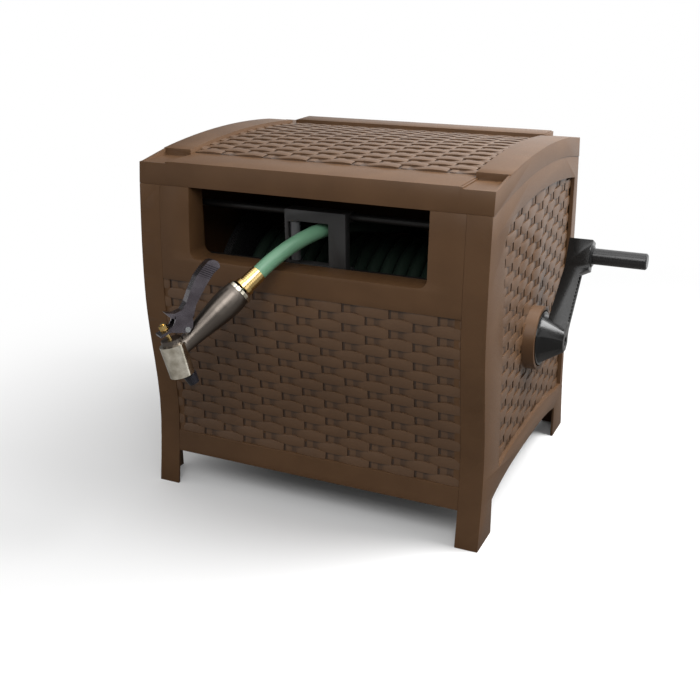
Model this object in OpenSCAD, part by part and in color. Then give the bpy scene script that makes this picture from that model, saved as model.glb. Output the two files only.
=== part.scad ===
// Garden hose cabinet: a moulded wicker-look box on four legs with a hose reel inside.
// Millimetres, +Z up. The drawing frame of every module is the cabinet's own: X to the crank
// side, -Y to the front, Z from the floor. placed() then sets the whole object in its frame,
// whose origin is the bottom centre of the cabinet with its crank and inlet.

/* [Case] */
// Half the width over the two side panels
half_w = 284.2; // [270:0.2:310]
// Height of the side panels at their corners
corner_h = 510.3; // [480:0.1:540]
// How far the arched top of a side panel rises above its corners
top_rise = 22.8; // [10:0.2:40]
// Wall of the moulded panels
wall = 4; // [3:0.5:5]
// Width of a front or rear corner flange, seen from the front
post_w = 36.4; // [30:0.2:44]
// Depth of the front face from the centre at the top corner
shoulder_y = 242; // [230:1:246]
// Depth of the front face at its fullest
belly_y = 251.3; // [248:0.1:256]
// Height where the front face is fullest
belly_z = 340; // [300:5:380]
// Depth of the front face at its waist
waist_y = 235; // [228:1:242]
// Height of the waist
waist_z = 132; // [110:2:160]
// Depth of the front face at the toe of the leg
toe_y = 251; // [240:1:251]

/* [Legs and openings] */
// Half the opening between the front and rear legs
leg_in = 187; // [170:1:200]
// Height of the arch between the legs at its crown
foot_crown = 74; // [62:1:84]
// How much lower that arch is at the legs
foot_drop = 16; // [6:1:24]
// Height of the rail between the arch and the woven field of a side
rail_h = 34; // [24:1:44]
// Height of the frame above the woven field of a side
head_h = 36; // [26:1:46]
// Depth of the woven field of a side behind its frame
field_in = 9; // [6:0.5:12]
// Wall of the recessed floor of a side
floor_wall = 3.5; // [3:0.5:5]
// Woven field's front edge at the bottom of a side
field_front_low = 157; // [140:1:165]
// Woven field's front edge at the top of a side
field_front_top = 178; // [166:1:184]
// Woven field's rear edge
field_rear = 222; // [205:1:226]

/* [Front and rear panels] */
// Bottom edge of the front and rear panels
panel_low = 59; // [40:1:70]
// Bottom edge of their woven field
weave_low = 95; // [85:1:110]
// How far the front woven field ends below the corners
weave_drop = 146.8; // [130:0.2:160]
// How far the rear woven field ends below the corners
rear_weave_drop = 40.3; // [30:0.1:70]
// Depth of the woven field behind the panel's frame
weave_in = 4; // [2:0.5:5]
// How far the window's sill lies below the corners
sill_drop = 109.8; // [105:0.2:115]
// Distance from the outside of a side panel to the window
window_in = 89.2; // [85:0.2:100]
// Radius of the window's lower corners
window_r = 14; // [8:1:20]
// Depth from the centre to the inner edge of the window's lining
lining_y = 206; // [205:1:215]

/* [Lid] */
// How far the lid stands out past each side panel
lid_over = 0.8; // [0.4:0.1:6]
// How far the lid's skirt stays behind the top corner of the front
lid_back = 1; // [0:0.5:5]
// Inward lean of the lid's front and rear skirts
lid_draft = 4; // [0:0.5:8]
// Wall of the lid
lid_wall = 3.5; // [3:0.5:5]
// Height of the lid's low corners above the corners of the case
pocket_rise = 32.7; // [28:0.1:38]
// Height of the front strip of the lid above the corners of the case
strip_rise = 35.7; // [33:0.1:42]
// Height of the side rails' crown above the corners of the case
rail_rise = 52.4; // [46:0.1:58]
// How much lower the rails are at their ends
rail_sag = 9.3; // [6:0.1:12]
// Width of a side rail
rail_w = 50; // [40:1:60]
// Distance from the lid's skirt to the end of a side rail
rail_short = 71; // [66:1:90]
// Step from the woven top up to the side rails
rail_step = 8; // [5:0.5:10]
// Depth of the raised rear rim from the lid's skirt
rim_d = 51; // [40:1:60]
// Height of the raised rear rim above the corners of the case
rim_rise = 41.7; // [39:0.1:46]
// Gap between the lid and the case
lid_gap = 0.3; // [0.2:0.1:1]

/* [Lid hinges] */
// Distance of each hinge from the middle
hinge_x = 150; // [100:5:200]
// Radius of a hinge barrel
barrel_r = 4.5; // [4:0.1:4.5]
// Radius of a hinge pin
pin_r = 2; // [1.5:0.1:2.5]
// Length of a hinge pin
pin_len = 66; // [60:1:80]

/* [Reel] */
// Place of the reel's axle behind the middle
axle_y = 15; // [5:1:20]
// Height of the reel's axle
axle_z = 254; // [245:1:262]
// Radius of the reel's end discs
flange_r = 178; // [170:1:182]
// Distance from the outside of a side panel to the inside of the end disc
drum_in = 79.2; // [70:0.2:95]
// Radius of the drum that the hose winds on
drum_r = 95; // [85:1:98]
// Wall of the drum and of the end discs
drum_wall = 4; // [3:0.5:5]
// Radius of the reel's journals
journal_r = 22; // [19:0.5:24]
// Radial running clearance of the journals
run_gap = 0.05; // [0.03:0.01:0.08]
// Radius of the round boss on each side panel
boss_r = 52; // [48:1:56]
// How far the boss stands out from its side panel
boss_out = 11.8; // [8:0.2:16]
// How far the bottom of the cup in the boss stands out from the side panel
cup_out = 4.1; // [2:0.1:5]
// Radius of the cup in the boss
cup_r = 46; // [44:0.5:48]

/* [Crank] */
// Angle of the crank behind upright
crank_angle = 25; // [0:5:90]
// Distance from the axle to the handle
crank_r = 142; // [130:1:160]
// Radius of the crank's disc
disc_r = 44; // [40:0.5:45]
// Width of the crank arm
arm_w = 26; // [22:1:32]
// Distance from the side panel to the handle grip
grip_out = 72.8; // [70.8:0.2:80]
// Distance from the side panel to the end of the grip
handle_out = 156.8; // [140:0.2:176]
// Radius of the handle grip
grip_r = 13; // [11:0.5:15]
// Radius of the handle's spindle
spindle_r = 6; // [5:0.5:8]

/* [Water way] */
// How far the inlet's thread stands out from the side panel
inlet_out = 33.8; // [30:0.2:46]
// Outer radius of the garden hose thread
thread_r = 13.2; // [12.8:0.1:13.6]
// Length of the inlet's thread
thread_len = 14; // [12:0.5:15]
// Radius of the bore through the inlet
water_r = 8; // [6:0.5:8.5]
// Radius of the inlet tube inside the journal
tube_r = 14; // [13:0.5:15]

/* [Guide] */
// Place of the two guide rods in front of the middle
rod_y = 178; // [176:1:180]
// How far the upper guide rod lies below the corners
rod_top_drop = 36.3; // [30:0.1:36.3]
// How far the lower guide rod lies below the corners
rod_low_drop = 122.3; // [121:0.1:128]
// Radius of the guide rods
rod_r = 5.5; // [5:0.5:6]
// Radius of the guide's sleeves on the rods
sleeve_r = 8.5; // [8:0.5:8.5]
// Left edge of the guide
guide_left = -53; // [-60:1:-50]
// Right edge of the guide
guide_right = 48; // [45:1:54]
// Left edge of the guide's own window
eye_left = -32; // [-34:1:-28]
// Right edge of the guide's own window
eye_right = 20; // [17:1:22]
// Radius of the guide's rollers
roller_r = 7.5; // [6.5:0.5:7.5]

/* [Hose] */
// Outside diameter of the hose
hose_d = 23; // [20:0.5:23]
// Distance between neighbouring turns
turn_pitch = 23.6; // [23.5:0.1:24.5]

/* [Nozzle] */
// Radius of the chromed ring at the nozzle's inlet
collar_r = 20.5; // [19:0.5:21]
// Radius of the nozzle's chromed head
head_r = 19.5; // [18.5:0.5:21]
// Radius of the spray tip
tip_r = 10.5; // [9:0.5:11]
// Length of the chromed head
head_len = 48; // [44:1:50]
// Radius of the valve stem
stem_r = 3; // [2.5:0.1:3.3]
// Half the width of the squeeze lever
lever_half = 9; // [7.5:0.5:9]

/* [Hidden] */
$fn = 64;

brown = "#5d4a3c";
black = "#26262a";
grey = "#3a3a3c";
green = "#4f7a60";
brass = "#c9a24a";
chrome = "#c8c4bc";
gunmetal = "#6b6864";
steel = "#a8a8a8";
weave_pitch = 37.5;
weave_row_h = 14.8;
bar_w = weave_row_h - 0.6;
panel_slit = 24;
lid_slit = 2;
panel_row_z = 352.5;
lid_row_y = -134.5;

cabinet_x = -(handle_out - inlet_out) / 2;
eps = 0.01;
hose_r = hose_d / 2;
boss_x = half_w + boss_out;
cup_x = half_w + cup_out;
grip_x = half_w + grip_out;
handle_end = half_w + handle_out;
inlet_end = half_w + inlet_out;
drum_half = half_w - drum_in;
window_half = half_w - window_in;
sill_z = corner_h - sill_drop;
weave_top = corner_h - weave_drop;
rear_weave_top = corner_h - rear_weave_drop;
rod_top_z = corner_h - rod_top_drop;
rod_low_z = corner_h - rod_low_drop;
lid_half_w = half_w + lid_over;
lid_half_d = shoulder_y - lid_back;
pocket_z = corner_h + pocket_rise;
strip_z = corner_h + strip_rise;
rail_crown = corner_h + rail_rise;
rim_z = corner_h + rim_rise;
rail_half = lid_half_d - rail_short;
rim_y = lid_half_d - rim_d;
turn_count = floor((2 * drum_half - 2 - hose_d) / turn_pitch);
frame_x = half_w - wall;
tray_x = half_w - field_in - floor_wall;
floor_x = half_w - field_in;
post_x = half_w - post_w;
seam = 0.4;
panel_half = post_x - seam;
tongue_x = post_x + 14;
screw_x = post_x + 9;
screw_heights = [150, 430];
lid_foot_z = corner_h + lid_gap;
arch_half = shoulder_y - wall - 1;
hinge_y = shoulder_y + barrel_r + lid_gap;
hinge_z = corner_h + 0.2;
knuckle_len = 20;
knuckle_gap = 0.5;
crown_base = rail_crown - rail_step;
bushing_r = journal_r + run_gap + 4;
journal_end = cup_x + 0.7;
layer_r = drum_r + 0.3 + hose_d;
ring_step = 15;
wind_r = (layer_r + 0.3) / cos(ring_step / 2) + hose_r;
lead_r = wind_r + hose_d + 2.2;
guide_front = -202;
guide_back = -186;
head_at = [-14, 0, -125.5];
head_turn = -65.5;
stem_turn = -76.5;
pivot_at = [-18, 0, -97];
hose_end_z = 36;

// Depth of the front face behind or before the middle, at a height: an S from toe to shoulder
function skin(z) =
  z > belly_z ? shoulder_y + (belly_y - shoulder_y) * sin(90 * (corner_h - z) / (corner_h - belly_z))
  : z > waist_z ? waist_y + (belly_y - waist_y) * (1 + cos(180 * (belly_z - z) / (belly_z - waist_z))) / 2
  : waist_y + (toe_y - waist_y) * pow((waist_z - max(z, 0)) / waist_z, 1.4);
function top_edge(y) = corner_h + top_rise * (1 - pow(min(1, abs(y) / arch_half), 2));
function foot_arch(y) = foot_crown - foot_drop * pow(min(1, abs(y) / leg_in), 3);
function steps(a, b, n) = [for (i = [0:n]) a + (b - a) * i / n];
function back(list) = [for (i = [len(list) - 1:-1:0]) list[i]];

// A strip of the S-shaped front between two heights and two depths behind the face
function strip(z0, z1, d0, d1) =
  concat([for (z = steps(z0, z1, 14)) [-skin(z) + d0, z]],
         [for (z = steps(z1, z0, 14)) [-skin(z) + d1, z]]);

// Outline of a side panel, with its legs and the arch between them
side_outline = concat(
  [for (z = steps(0, corner_h, 22)) [-skin(z), z]],
  [for (y = steps(-arch_half, arch_half, 20)) [y, top_edge(y)]],
  [for (z = steps(corner_h, 0, 22)) [skin(z), z]],
  [[leg_in, 0]],
  [for (y = steps(leg_in, -leg_in, 18)) [y, foot_arch(y)]],
  [[-leg_in, 0]]
);

// Outline of the woven field of a side, grown by g on every side
function field_outline(g) =
  let (z_low = foot_arch(leg_in) + rail_h,
       z_knee = top_edge(field_front_top) - head_h - 25)
  concat(
    [for (y = steps(-field_front_low - g, field_rear + g, 14)) [y, foot_arch(y) + rail_h - g]],
    [for (y = steps(field_rear + g, -field_front_top + 26, 14)) [y, top_edge(y) - head_h + g]],
    [[-field_front_top - g, z_knee + g / 2], [-field_front_low - 2 - g, z_low + 20]]
  );

module placed() translate([cabinet_x, 0, 0]) children();
module along_x(x0, x1) rotate([90, 0, 90]) translate([0, 0, x0]) linear_extrude(x1 - x0) children();
module block(a, b) translate(a) cube(b - a);
module rod_x(x0, x1, r, y, z) translate([x0, y, z]) rotate([0, 90, 0]) cylinder(h = x1 - x0, r = r);
module on_axle() translate([0, axle_y, axle_z]) children();
module axle_rod(x0, x1, r) rod_x(x0, x1, r, axle_y, axle_z);
module both_ends() { children(); mirror([0, 1, 0]) children(); }

// One side panel, drawn for the crank side
module side_walls() difference() {
  union() {
    along_x(frame_x, half_w) polygon(side_outline);
    along_x(tray_x, half_w) polygon(field_outline(floor_wall));
    both_ends() along_x(post_x, half_w) polygon(strip(0, corner_h, 0, wall));
    both_ends() for (z = screw_heights)
      block([post_x + 4, -skin(z) + 2 * wall + 0.6, z - 9], [frame_x + 1, -skin(z) + 24, z + 9]);
    for (z = [rod_top_z, rod_low_z]) rod_x(tray_x - 12, floor_x - 0.5, rod_r + 5, -rod_y, z);
  }
  along_x(floor_x, half_w + 1) polygon(field_outline(0));
}

module side_shell() difference() {
  union() {
    side_walls();
    axle_rod(tray_x - 16, boss_x, boss_r - 18);
    axle_rod(tray_x, boss_x, boss_r);
  }
  axle_rod(cup_x, boss_x + 1, cup_r);
  axle_rod(tray_x - 20, boss_x + 1, bushing_r);
  for (z = [rod_top_z, rod_low_z]) rod_x(tray_x - 13, floor_x - 1, rod_r, -rod_y, z);
  both_ends() for (z = screw_heights)
    translate([screw_x, -skin(z) + 25, z]) rotate([90, 0, 0]) cylinder(h = 20, r = 2.3);
}

// Screws of the inlet's cover plate sit on this circle
cover_screw_at = [for (a = [90, 210, 330]) [cos(a), sin(a)] * 36];

module right_side_panel() color(brown) placed() side_shell();

module left_side_panel() color(brown) placed() difference() {
  mirror([1, 0, 0]) side_shell();
  for (p = cover_screw_at)
    rod_x(-cup_x - 1, -cup_x + 10, 1.6, axle_y + p[0], axle_z + p[1]);
}

// The S-shaped wall of a front or rear panel, with its woven field set back up to z_top
module panel_wall(z_top) {
  along_x(-panel_half, panel_half) {
    polygon(strip(panel_low, weave_low, 0, wall));
    polygon(strip(weave_low - wall, z_top + wall, weave_in, weave_in + wall));
    polygon(strip(z_top, corner_h, 0, wall));
    polygon(strip(weave_low - wall, weave_low, wall / 2, weave_in + wall / 2));
    polygon(strip(z_top, z_top + wall, wall / 2, weave_in + wall / 2));
  }
  for (side = [-1, 1]) {
    a = side > 0 ? panel_half - 10 : -tongue_x;
    along_x(a, a + tongue_x - panel_half + 10)
      polygon(strip(panel_low + 8, corner_h - 8, wall + 0.3, 2 * wall));
    b = side > 0 ? panel_half - 10 : -panel_half;
    along_x(b, b + 10) polygon(strip(panel_low, corner_h, wall / 2, 1.5 * wall));
  }
}

// Rows of weave on the set-back field of a front or rear panel, seen from its own outside
module woven_rows(from, to) for (j = [from:to]) let (z = panel_row_z + j * weave_row_h)
  translate([0, -skin(z) + weave_in, z]) rotate([90 + atan((skin(z + 1) - skin(z - 1)) / 2), 0, 0])
    weave_row(panel_half - 0.2, panel_slit + abs(j % 2) * weave_pitch);

module tongue_holes() for (side = [-1, 1], z = screw_heights)
  translate([side * screw_x, -skin(z) + 2 * wall + 1, z]) rotate([90, 0, 0])
    cylinder(h = 2 * wall, r = 2);

// Outline of the window in X and Z, drawn in by d
module window_shape(d) {
  w = window_half - d;
  r = max(window_r - d, 1);
  for (side = [-1, 1]) translate([side * (w - r), sill_z + d + r]) circle(r);
  translate([-w + r, sill_z + d]) square([2 * (w - r), 2 * r]);
  translate([-w, sill_z + d + r]) square([2 * w, corner_h - sill_z + 10]);
}

module lining_blank() intersection() {
  translate([0, -lining_y, 0]) rotate([90, 0, 0]) linear_extrude(60) difference() {
    window_shape(-wall);
    window_shape(1);
  }
  along_x(-half_w, half_w) polygon(strip(weave_top, corner_h, 0, 70));
}

module front_panel() color(brown) placed() difference() {
  union() {
    panel_wall(weave_top);
    lining_blank();
  }
  translate([0, -lining_y + 1, 0]) rotate([90, 0, 0]) linear_extrude(80) window_shape(0);
  tongue_holes();
}

module knuckle(x, len, lug_from, lug_to) {
  rod_x(x, x + len, barrel_r, hinge_y, hinge_z);
  block([x, lid_half_d - lid_wall, lug_from], [x + len, hinge_y, lug_to]);
}

module rear_panel() color(brown) placed() difference() {
  union() {
    mirror([0, 1, 0]) panel_wall(rear_weave_top);
    rotate([0, 0, 180]) woven_rows(-17, 7);
    for (side = [-1, 1], end = [-1, 1])
      knuckle(side * hinge_x + end * (knuckle_len + knuckle_gap) - knuckle_len / 2, knuckle_len,
              hinge_z - barrel_r, corner_h);
  }
  for (side = [-1, 1])
    rod_x(side * hinge_x - 40, side * hinge_x + 40, pin_r, hinge_y, hinge_z);
  mirror([0, 1, 0]) tongue_holes();
}

module panel_screws() color(steel) placed() both_ends()
  for (side = [-1, 1], z = screw_heights)
    translate([side * screw_x, -skin(z), z]) rotate([90, 0, 0]) {
      translate([0, 0, -24.2]) cylinder(h = 24.2 - wall - 1.3, r = 2);
      translate([0, 0, -27]) cylinder(h = 2.8, r = 4.2);
    }

module hinge_pins() color(steel) placed() for (side = [-1, 1])
  rod_x(side * hinge_x - pin_len / 2, side * hinge_x + pin_len / 2, pin_r, hinge_y, hinge_z);

module bushing() difference() {
  union() {
    axle_rod(tray_x - 19, cup_x, bushing_r);
    axle_rod(tray_x - 19, tray_x - 16, bushing_r + 5);
  }
  axle_rod(tray_x - 21, cup_x + 1, journal_r + run_gap);
}

module right_bushing() color(black) placed() bushing();
module left_bushing() color(black) placed() mirror([1, 0, 0]) bushing();

module guide_rod(z) rod_x(-floor_x + 1.5, floor_x - 1.5, rod_r, -rod_y, z);
module upper_guide_rod() color(steel) placed() guide_rod(rod_top_z);
module lower_guide_rod() color(steel) placed() guide_rod(rod_low_z);

tube_end = -(drum_half - 31);
o_ring_x = [tube_end - 14, tube_end - 6];
module inlet_tube() color(black) placed() difference() {
  union() {
    axle_rod(-inlet_end, -inlet_end + thread_len + 1, thread_r);
    axle_rod(-inlet_end + thread_len, -cup_x, tube_r + 2);
    axle_rod(-boss_x + 4, -cup_x, tube_r + 10);
    axle_rod(-cup_x - 1, tube_end - 26, tube_r);
    axle_rod(tube_end - 27, tube_end, tube_r - 2);
  }
  axle_rod(-inlet_end - 1, tube_end + 1, water_r);
  for (x = o_ring_x) difference() {
    axle_rod(x - 1.5, x + 1.5, tube_r);
    axle_rod(x - 2, x + 2, tube_r - 4);
  }
}

module inlet_o_rings() color("#1c1c1c") placed() for (x = o_ring_x)
  translate([x, axle_y, axle_z]) rotate([0, 90, 0])
    rotate_extrude() translate([tube_r - 3, 0]) circle(1, $fn = 24);

module inlet_cover() color(brown) placed() difference() {
  axle_rod(-boss_x, -boss_x + 4, cup_r - 0.3);
  axle_rod(-boss_x - 1, -boss_x + 5, tube_r + 2.1);
  for (p = cover_screw_at) rod_x(-boss_x - 1, -boss_x + 5, 1.8, axle_y + p[0], axle_z + p[1]);
}

module cover_screws() color(steel) placed() for (p = cover_screw_at) {
  rod_x(-boss_x - 2, -boss_x, 3.4, axle_y + p[0], axle_z + p[1]);
  rod_x(-boss_x - 1, -cup_x + 8, 1.6, axle_y + p[0], axle_z + p[1]);
}

// Heights of the lid's surfaces along its depth
function rail_top(y) = rail_crown - rail_sag * pow(y / rail_half, 2);
function woven_top(y) = rail_top(y) - rail_step;
strip_y = rail_half * sqrt((crown_base - strip_z) / rail_sag);

// Woven relief: each row is one bar whose top rises over every second stake and is cut by the
// slits beside the next; neighbouring rows are shifted by one stake
float_top = [[0.9, -0.5], [1.6, 1.7], [11.8, 1.7], [13.2, 0.5], [28, 2.1], [37.5, 2.7], [58, 2.2],
             [73.2, 0.8], [74.1, -0.5]];
module weave_row(half, slit) intersection() {
  rotate([90, 0, 0]) translate([0, 0, -bar_w / 2]) linear_extrude(bar_w)
    polygon(concat(
      [for (m = [-5:4]) for (q = float_top) [slit + 2 * weave_pitch * m + q[0], q[1]]],
      [[slit + 10 * weave_pitch, -1.2], [slit - 10 * weave_pitch, -1.2]]));
  translate([-half, -bar_w, -2]) cube([2 * half, 2 * bar_w, 6]);
}

// Profile of the lid's skin: list of outer points closed by the same points one wall inside
function shell(outer, inner) = concat(outer, back(inner));
function rail_path(w) = concat(
  [[-lid_half_d + w, lid_foot_z], [-lid_half_d + lid_draft + w, pocket_z - w]],
  [[-rail_half + w, pocket_z - w]],
  [for (y = steps(-rail_half + w, rail_half - w, 16)) [y, rail_top(y) - w]],
  [[rail_half - w, pocket_z - w]],
  [[lid_half_d - lid_draft - w, pocket_z - w], [lid_half_d - w, lid_foot_z]]);
function woven_path(w) = concat(
  [[-lid_half_d + w, lid_foot_z], [-lid_half_d + lid_draft + w, strip_z - w]],
  [for (y = steps(-strip_y, rim_y + w, 16)) [y, woven_top(y) - w]],
  [[rim_y + w, rim_z - w], [lid_half_d - lid_draft - w, rim_z - w], [lid_half_d - w, lid_foot_z]]);
function skirt_foot(y) = top_edge(y) + lid_gap;
lid_in = lid_half_d - lid_draft;

// A cheek of the lid across its depth: from an arched foot up to the surface that f gives
side_cheek = concat(
  [[-lid_half_d, lid_foot_z]],
  [for (y = steps(-arch_half, arch_half, 20)) [y, skirt_foot(y)]],
  [[lid_half_d, lid_foot_z]],
  [[lid_in, pocket_z - 1]],
  [for (y = steps(rail_half, -rail_half, 18)) [y, rail_top(y) - 1]],
  [[-lid_in, pocket_z - 1]]);
inner_cheek = concat(
  [for (y = steps(-rail_half + 1, rail_half - 1, 16)) [y, woven_top(y) - lid_wall]],
  [for (y = steps(rail_half - 1, -rail_half + 1, 16)) [y, rail_top(y) - 1]]);
strip_cheek = [[-lid_in + 1, pocket_z - lid_wall], [-rail_half, pocket_z - lid_wall],
               [-rail_half, strip_z - 1], [-lid_in + 1, strip_z - 1]];
rim_cheek = [[rail_half, pocket_z - lid_wall], [lid_in - 1, pocket_z - lid_wall],
             [lid_in - 1, rim_z - 1], [rim_y, rim_z - 1], [rim_y, woven_top(rail_half) - 1],
             [rail_half, woven_top(rail_half) - 1]];
field_half = lid_half_w - rail_w;

module lid() color(brown) placed() difference() {
  union() {
    along_x(-field_half, field_half) polygon(shell(woven_path(0), woven_path(lid_wall)));
    for (x = [-lid_half_w, field_half])
      along_x(x, x + rail_w) polygon(shell(rail_path(0), rail_path(lid_wall)));
    for (x = [-lid_half_w, lid_half_w - lid_wall]) along_x(x, x + lid_wall) polygon(side_cheek);
    for (x = [-field_half - lid_wall, field_half]) along_x(x, x + lid_wall) {
      polygon(inner_cheek);
      polygon(strip_cheek);
      polygon(rim_cheek);
    }
    for (side = [-1, 1])
      knuckle(side * hinge_x - knuckle_len / 2, knuckle_len, lid_foot_z, hinge_z + barrel_r);
    for (j = [-1:21]) let (y = lid_row_y + j * weave_row_h)
      translate([0, y, woven_top(y)]) rotate([atan((woven_top(y + 1) - woven_top(y - 1)) / 2), 0, 0])
        weave_row(field_half - 0.2, lid_slit + abs(j % 2) * weave_pitch);
  }
  for (side = [-1, 1])
    rod_x(side * hinge_x - 40, side * hinge_x + 40, pin_r + run_gap, hinge_y, hinge_z);
}

screw_circle = [for (a = [0:60:300]) [cos(a + 7.5), sin(a + 7.5)] * (drum_r - 13)];

module drum_core() color(black) placed() difference() {
  union() {
    difference() {
      axle_rod(-drum_half, drum_half, drum_r);
      axle_rod(-drum_half - 1, drum_half + 1, drum_r - drum_wall);
    }
    for (p = screw_circle, x = [-drum_half, drum_half - 30])
      rod_x(x, x + 30, 9.5, axle_y + p[0], axle_z + p[1]);
  }
  for (p = screw_circle, x = [-drum_half - 1, drum_half - 20])
    rod_x(x, x + 21, 2.2, axle_y + p[0], axle_z + p[1]);
  tail_route(hose_r + 1.5);
}

// An end disc of the reel with its rim, ribs and journal, drawn for the crank side
module flange_blank() {
  axle_rod(drum_half, drum_half + drum_wall, flange_r);
  difference() {
    axle_rod(drum_half, drum_half + 14, flange_r);
    axle_rod(drum_half - 1, drum_half + 15, flange_r - 5);
  }
  axle_rod(drum_half, tray_x - 20, journal_r + 8);
  on_axle() for (a = [0:45:315]) rotate([a, 0, 0])
    block([drum_half + 2, -2, journal_r], [drum_half + 12, 2, flange_r - 2]);
}

module flange_holes() for (p = screw_circle)
  rod_x(drum_half - 1, drum_half + 20, 2.6, axle_y + p[0], axle_z + p[1]);

module right_flange() color(black) placed() difference() {
  union() {
    flange_blank();
    axle_rod(drum_half, journal_end, journal_r);
  }
  flange_holes();
  crank_frame() block([journal_end - 29, -12, -12], [journal_end + 1, 12, 12]);
  axle_rod(journal_end - 50, journal_end, 2.2);
}

module left_flange() color(black) placed() mirror([1, 0, 0]) difference() {
  union() {
    flange_blank();
    axle_rod(drum_half, cup_x - 0.5, journal_r);
  }
  flange_holes();
  axle_rod(drum_half - 1, cup_x, tube_r + 0.5);
}

module flange_screws() color(steel) placed() for (p = screw_circle, side = [-1, 1]) {
  a = side > 0 ? drum_half - 16 : -drum_half - drum_wall;
  rod_x(a, a + 16 + drum_wall, 2.2, axle_y + p[0], axle_z + p[1]);
  b = side > 0 ? drum_half + drum_wall : -drum_half - drum_wall - 3;
  rod_x(b, b + 3, 4.5, axle_y + p[0], axle_z + p[1]);
}

elbow_x = tube_end + 16;
arm_up = 62;
spigot_y = 16;
coupling_len = 26;

// Inside the drum: water leaves the axle, turns up an arm and then along the winding
module outlet_elbow() color(black) placed() difference() {
  union() {
    axle_rod(-drum_half, -drum_half + 4, tube_r + 12);
    axle_rod(-drum_half, elbow_x + 14, tube_r + 4);
    translate([elbow_x, axle_y, axle_z]) cylinder(h = arm_up, r = 12.5);
    translate([elbow_x, axle_y, axle_z + arm_up]) block([-13, -13, -13], [13, 13, 13]);
    translate([elbow_x, axle_y, axle_z + arm_up]) rotate([-90, 0, 0])
      cylinder(h = 13 + spigot_y, r = 12);
  }
  axle_rod(-drum_half - 1, tube_end + 1, tube_r - 2 + run_gap);
  axle_rod(-drum_half - 1, tube_end - 24, tube_r + 0.5);
  axle_rod(tube_end - 2, elbow_x + 8, water_r);
  translate([elbow_x, axle_y, axle_z + 2]) cylinder(h = arm_up + 4, r = water_r - 1);
  translate([elbow_x, axle_y + 3, axle_z + arm_up]) rotate([-90, 0, 0])
    cylinder(h = 40, r = water_r - 2);
}

module hose_tail_coupling() color(brass) placed()
  translate([elbow_x, axle_y + 13, axle_z + arm_up]) rotate([-90, 0, 0]) difference() {
    cylinder(h = coupling_len, r = 15);
    translate([0, 0, -1]) cylinder(h = spigot_y + 1, r = 12);
    cylinder(h = coupling_len + 1, r = water_r);
  }

// The hose's own inner end: an arc from the coupling out through the drum's wall
tail_bend = 88;
tail_angle = 32;
module tail_route(r)
  translate([elbow_x, axle_y + 13 + coupling_len, axle_z + arm_up - tail_bend])
    rotate([90, 0, 90]) rotate([0, 0, 90 - tail_angle])
      rotate_extrude(angle = tail_angle) translate([tail_bend, 0]) circle(r, $fn = 32);

module hose_tail() color(green) placed() tail_route(hose_r - 0.5);

module hose_inner_layers() color(green) placed() difference() {
  axle_rod(-drum_half + 0.5, drum_half - 0.5, layer_r);
  axle_rod(-drum_half - 1, drum_half + 1, drum_r + 0.3);
}

// Rings of six points round a path point, for tubes that are swept as one mesh
module tube_mesh(rings) {
  n = len(rings);
  m = len(rings[0]);
  points = [for (ring = rings) for (p = ring) p];
  sides = [for (i = [0:n - 2], j = [0:m - 1])
    for (t = [[i * m + j, i * m + (j + 1) % m, (i + 1) * m + (j + 1) % m],
              [i * m + j, (i + 1) * m + (j + 1) % m, (i + 1) * m + j]]) t];
  first = [for (j = [1:m - 2]) [0, j + 1, j]];
  last = [for (j = [1:m - 2]) [(n - 1) * m, (n - 1) * m + j, (n - 1) * m + j + 1]];
  polyhedron(points = points, faces = concat(sides, first, last));
}

// The outer layer of wound hose: one helix, 24 rings a turn, straight for a diameter at its ends
wind_start = -turn_count * turn_pitch / 2;
function wind_ring(a, along) = [for (k = [0:5])
  let (r = wind_r + hose_r * cos(60 * k))
  [wind_start + turn_pitch * a / 360 + hose_r * sin(60 * k),
   axle_y + r * cos(a) - along * sin(a), axle_z + r * sin(a) + along * cos(a)]];
wind_end = 360 * turn_count;
wind_rings = concat(
  [wind_ring(0, -hose_d)],
  [for (a = [0:ring_step:wind_end]) wind_ring(a, 0)],
  [wind_ring(wind_end, hose_d)]);
turn_rings = 360 / ring_step;
turn_gap = min([for (i = [1:turn_rings], j = [0:5], k = [0:5])
  norm(wind_rings[i][j] - wind_rings[i + turn_rings][k])]);
echo(least_gap_between_turns = turn_gap);

module hose_outer_layer() color(green) placed() tube_mesh(wind_rings);

// The crank: disc in the cup, cone, and an arm that leans outward to the handle
module crank_frame() on_axle() rotate([-crank_angle, 0, 0]) children();
arm_x = boss_x + 6;
arm_side = [[arm_x, -6], [arm_x, 24], [arm_x + 14, crank_r - 22], [arm_x + 14, crank_r + 24],
            [grip_x - 3, crank_r + 24], [grip_x - 3, crank_r - 24], [arm_x + 39, crank_r - 31],
            [arm_x + 32, 22], [arm_x + 32, -6]];
arm_pocket = [[arm_x + 6, 32], [arm_x + 17, crank_r - 30], [arm_x + 43, crank_r - 34], [arm_x + 43, 32]];
module crank_arm() color(black) placed() crank_frame() difference() {
  union() {
    rotate([0, 90, 0]) {
      translate([0, 0, journal_end]) cylinder(h = 8, r = disc_r);
      translate([0, 0, journal_end + 8 - eps]) cylinder(h = 37, r1 = disc_r - 3, r2 = 18);
    }
    block([journal_end - 28, -11.9, -11.9], [journal_end + 1, 11.9, 11.9]);
    translate([0, arm_w / 2, 0]) rotate([90, 0, 0]) linear_extrude(arm_w) polygon(arm_side);
    translate([grip_x - 4, 0, crank_r]) rotate([0, 90, 0]) cylinder(h = 3.6, r1 = 20, r2 = 16);
  }
  translate([0, arm_w / 2 - 4, 0]) rotate([90, 0, 0]) linear_extrude(arm_w - 8) polygon(arm_pocket);
  translate([arm_x - 2, 0, 0]) rotate([0, 90, 0]) cylinder(h = 40, r = 7);
  translate([journal_end - 30, 0, 0]) rotate([0, 90, 0]) cylinder(h = 45, r = 2.6);
  translate([grip_x - 27, 0, crank_r]) rotate([0, 90, 0]) cylinder(h = 40, r = spindle_r);
}

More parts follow.
